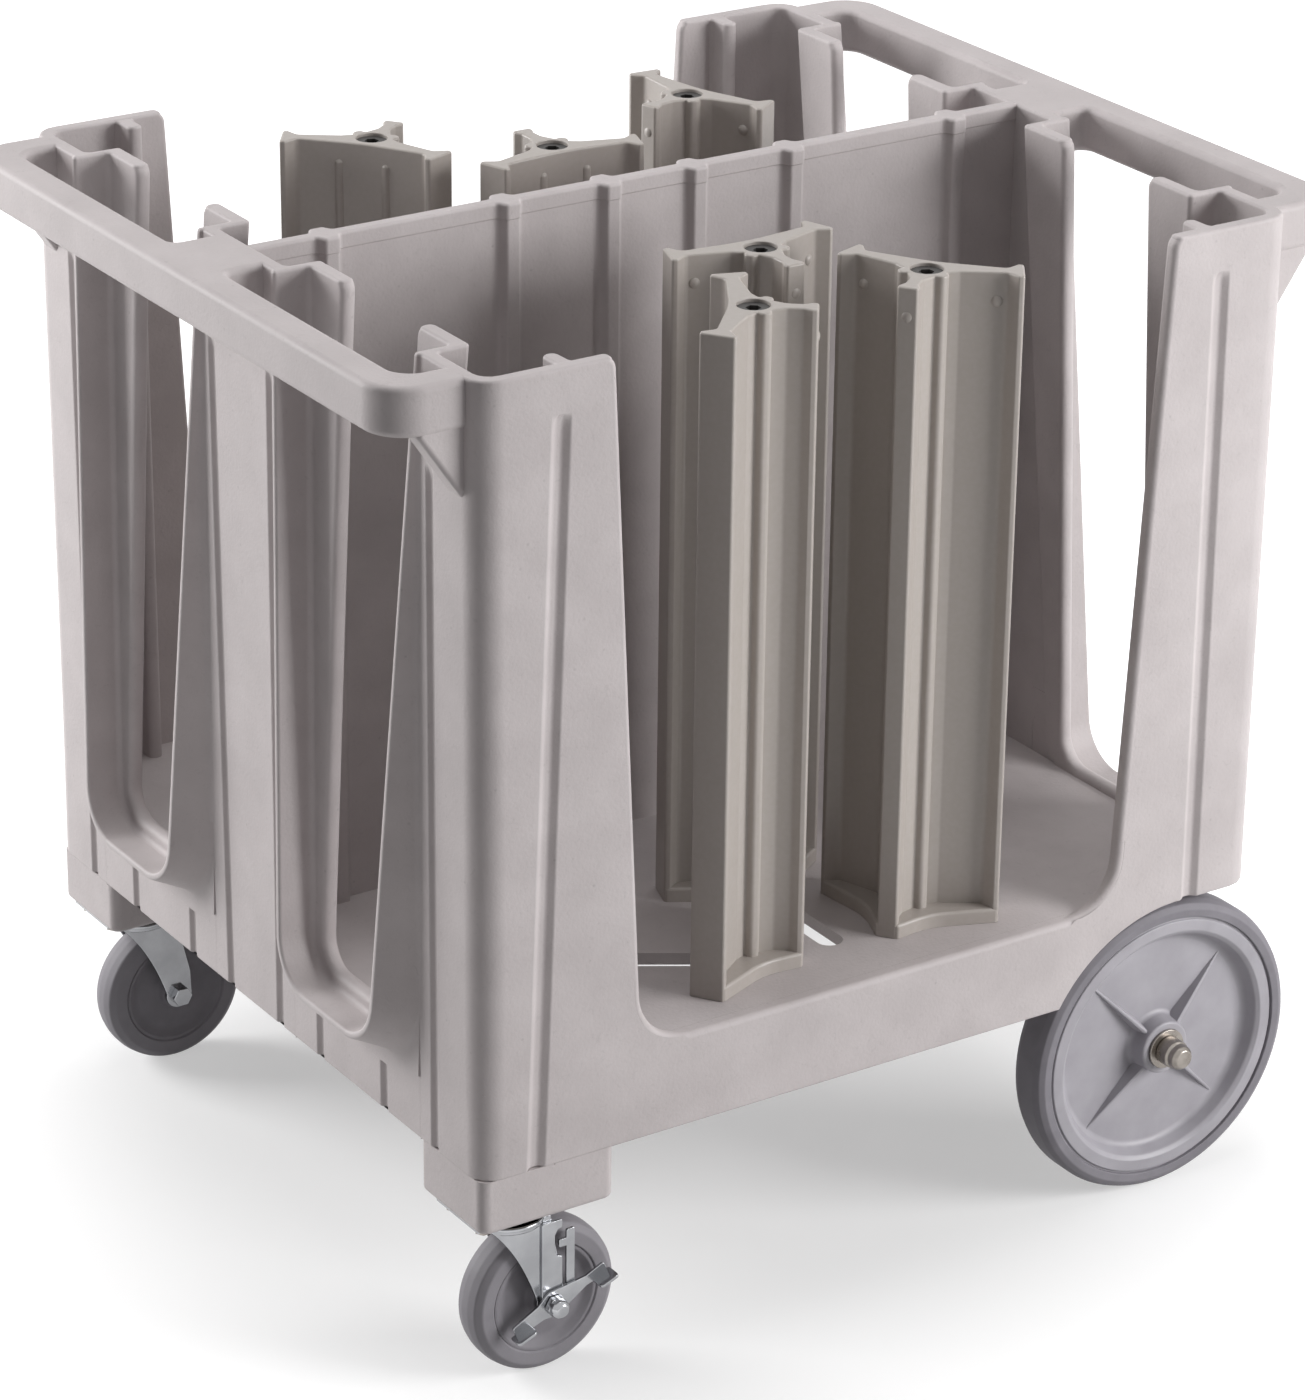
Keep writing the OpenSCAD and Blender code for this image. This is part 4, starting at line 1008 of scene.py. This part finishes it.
def strap():
    """Brake strap beside the fork: an upright plate with a hooked slot in its edge, and a
    narrower plate that a short tab ties to it."""
    top, out = 70.3, 20
    main = [(-9, -9, 8.9), (9, -9, 8.9), (9, 38, 1.2), (4.2, 40, 2), (2.4, 44, 2.2),
            (2.4, 58, 2.6), (5, 62.5, 2), (9, 63, 1), (9, top, 1.8), (-9, top, 1.8)]
    side = [(12.6, 8.5, 1.5), (out, 8.5, 1.5), (out, 60, 1.5), (12.6, 60, 1.5),
            (12.6, 53, 0.6), (6, 53, 1.2), (6, 46, 1.2), (12.6, 46, 0.6)]
    low = [(4, 2, 1), (out, 8, 2), (out, 14, 1), (4, 12, 1)]
    return [slab(rounded(q, steps), STRAP_Z, STRAP_Z + STRAP_T, 0.5, 0.5, 3)
            for q, steps in ((main, 6), (side, 5), (low, 4))]


def lever():
    """Brake lever: a waisted plate on the axle with a foot tab bent outwards at each end, turned
    a little about the axle."""
    plan = [(-38, -6, 1), (-12, -7, 4), (0, -12, 8), (12, -8, 5), (30, -4, 4), (50, -6, 1),
            (50, 5, 2), (32, 4, 4), (12, 9, 5), (0, 12, 8), (-12, 7, 5), (-38, 4, 2)]
    parts = [slab(rounded(plan), LEVER_Z, LEVER_Z + LEVER_T, 0.6, 0.6, 3)]
    for x0, x1, z1 in ((36, 53, 39.4), (-42, -24, 37.4)):
        z0 = LEVER_Z + 0.1
        tab = rounded([(x0, z0, 1.5), (x1, z0, 1.5), (x1, z1, 3), (x0, z1, 3)], 5)
        parts.append(swapped(slab(tab, -5.9, -3.3, 0.7, 0.7, 3), (0, 2, 1)))
    return [moved(q, turn=22) for q in parts]


def caster_bolt():
    """Axle bolt of a caster: its head inside, and outside a six-sided nut with a domed cap."""
    six = rounded(level(arc(0, 0, 8.9, 0, 300, 6), 0.8), 3)
    head_z, shank_r, cap_z = -FORK_IN - FORK_T - 0.05, CORE_BORE - 0.25, 40.4
    cap = [(0.02, 28, 0.01), (7.9, 28, 0.5), (7.9, 37, 4.5), (4.8, cap_z, 2.5),
           (0.02, cap_z, 0.01)]
    shank = [(0.02, -24, 0.01), (shank_r, -24, 0.1), (shank_r, 30, 0.1),
             (0.02, 30, 0.01)]
    return [slab(six, NUT_Z, NUT_Z + NUT_T, 0.5, 0.9, 3), turned(cap, 40),
            slab(six, -29, head_z, 0.9, 0.4, 3), turned(shank, 32)]


def make_running_gear():
    """The rear wheels, and the casters with their brakes, each piece on its own side's body,
    and the washers and nuts of the rear axle on the cart."""
    wheel = (AXLE_X, -WHEEL_Y, WHEEL_R)
    caster = (TRAIL - CASTER_X, -CASTER_Y, CASTER_R)
    legs = [fork_leg(FORK_IN), fork_leg(-FORK_IN - FORK_T)]
    steel = (caster, CHROME, "bright_chrome")
    for name, parts, (place, material, slot), body, node in (
            ("disc", wheel_disc(), (wheel, DISC, "wheel_plastic"), "_wheel", "_wheel_disc"),
            ("tyre", wheel_tyre(), (wheel, TYRE, "grey_rubber"), "_wheel", "_wheel_tyre"),
            ("fork", legs, steel, "_caster", "_caster_fork"),
            ("caster_bolt", caster_bolt(), steel, "_caster", "_caster_axle"),
            ("strap", strap(), steel, "_caster", "_brake_strap"),
            ("lever", lever(), steel, "_brake", "_brake_lever"),
            ("core", caster_core(), (caster, CASTER_CORE, "caster_plastic"), "_caster_wheel",
             "_caster_core"),
            ("tread", caster_tread(), (caster, CASTER_TYRE, "dark_rubber"), "_caster_wheel",
             "_caster_tread")):
        parts = [on_axle(q, *place) for q in parts]
        if name == "fork":
            parts += [moved(q, *place) for q in fork_crown()]
        for side, own in (("near", parts), ("far", [mirrored(q) for q in parts])):
            piece(side + "_" + name, own, material, side + body, [side + node], 40)
    for name, parts, node in (("axle_washers", washers(), "hub_washers"),
                              ("axle_cap_nuts", cap_nut(), "cap_nuts")):
        parts = [on_axle(q, *wheel) for q in parts]
        piece(name, parts + [mirrored(q) for q in parts], ZINC, "cart", [node])


make_running_gear()


# Floor, light and camera

def seen_rays(tree):
    """1 for camera, glossy and transmitted rays, and 0 for the rays that light the object."""
    path = add(tree, "LightPath")
    most, *others = [path.outputs["Is %s Ray" % kind]
                     for kind in ("Camera", "Transmission", "Glossy")]
    for ray in others:
        most = add(tree, "Math", {"operation": "MAXIMUM"}, {0: most, 1: ray}).outputs[0]
    return most


def floor_material():
    """Matt white studio paper for the soft shadow. For the seen rays it also shines, more with
    the distance from the middle, so that it runs into the white backdrop without an edge."""
    mat, tree, shader = new_material("matt_white_paper", "#c8c8c8", 0.9, specular=0)
    at = add(tree, "TexCoord").outputs["Object"]
    away = add(tree, "VectorMath", {"operation": "LENGTH"}, {0: at})
    glow = add(tree, "MapRange", {"interpolation_type": "SMOOTHSTEP"},
               {"Value": away.outputs["Value"]}, From_Min=0.25, From_Max=1.05, To_Min=0.40,
               To_Max=1)
    strength = add(tree, "Math", {"operation": "MULTIPLY"},
                   {0: glow.outputs[0], 1: seen_rays(tree)})
    shine = add(tree, "Emission", links={"Strength": strength.outputs[0]})
    both = add(tree, "AddShader", links={0: shader.outputs[0], 1: shine.outputs[0]})
    tree.links.new(both.outputs[0], tree.nodes["Material Output"].inputs["Surface"])
    return mat


def make_floor():
    """A flat round floor just under the wheels, wide enough to fill every view."""
    part = sheet(circles([0.001, 3000, 30000], [-0.3] * 3, 96), (True, False))
    new_object("studio_floor", new_mesh("studio_floor", [part], floor_material()))


def aim(obj, place, target, roll=0):
    """Sets an object at a place in metres, looking at a target, rolled by degrees."""
    look = (Vector(target) - Vector(place)).to_track_quat("-Z", "Y").to_matrix().to_4x4()
    obj.matrix_world = Matrix.Translation(place) @ look @ Matrix.Rotation(radians(roll), 4, "Z")


def softbox(name, place, target, size, power):
    """A square studio light at a place, aimed at a target."""
    lamp = bpy.data.lights.new(name, "AREA")
    lamp.shape = "RECTANGLE"
    lamp.size = lamp.size_y = size
    lamp.energy = power
    aim(new_object(name, lamp), place, target)


def make_world(ambient, backdrop):
    """Even grey fill for the object, and a white backdrop for the seen rays."""
    scene.world = bpy.data.worlds.new("studio")
    scene.world.use_nodes = True
    tree = scene.world.node_tree
    back = tree.nodes["Background"]
    back.inputs["Color"].default_value = srgb("#ffffff")
    back.inputs["Strength"].default_value = backdrop
    fill = add(tree, "Background", Color=srgb("#f4f2f4"), Strength=ambient)
    mix = add(tree, "MixShader",
              links={0: seen_rays(tree), 1: fill.outputs[0], 2: back.outputs[0]})
    tree.links.new(mix.outputs[0], tree.nodes["World Output"].inputs["Surface"])


def make_camera(azimuth, elevation, roll, distance, target, lens):
    """The photograph's camera: angles in degrees, and a distance in metres from a target."""
    az, el = radians(azimuth), radians(elevation)
    back = np.array([sin(az) * cos(el), -cos(az) * cos(el), sin(el)])
    cam = bpy.data.cameras.new("photo_camera")
    cam.lens = lens
    cam.sensor_width = 36
    cam.clip_end = 100
    scene.camera = new_object("photo_camera", cam)
    aim(scene.camera, target + back * distance, target, roll)


make_floor()
make_world(ambient=0.13, backdrop=1)
softbox("left_softbox", (-1.9, 2.32, 1.3), (0, 0, 0.45), 1.5, 96)
softbox("right_softbox", (1.9, -2.32, 1.3), (0, 0, 0.45), 1.5, 89)
softbox("top_softbox", (0.2, 0.3, 3), (0, 0, 0.4), 2, 36)
make_camera(azimuth=-33.239, elevation=23.86, roll=0.637, distance=3.962,
            target=(-0.02475, -0.0510, 0.4000), lens=127.3)
scene.view_settings.view_transform = "Standard"
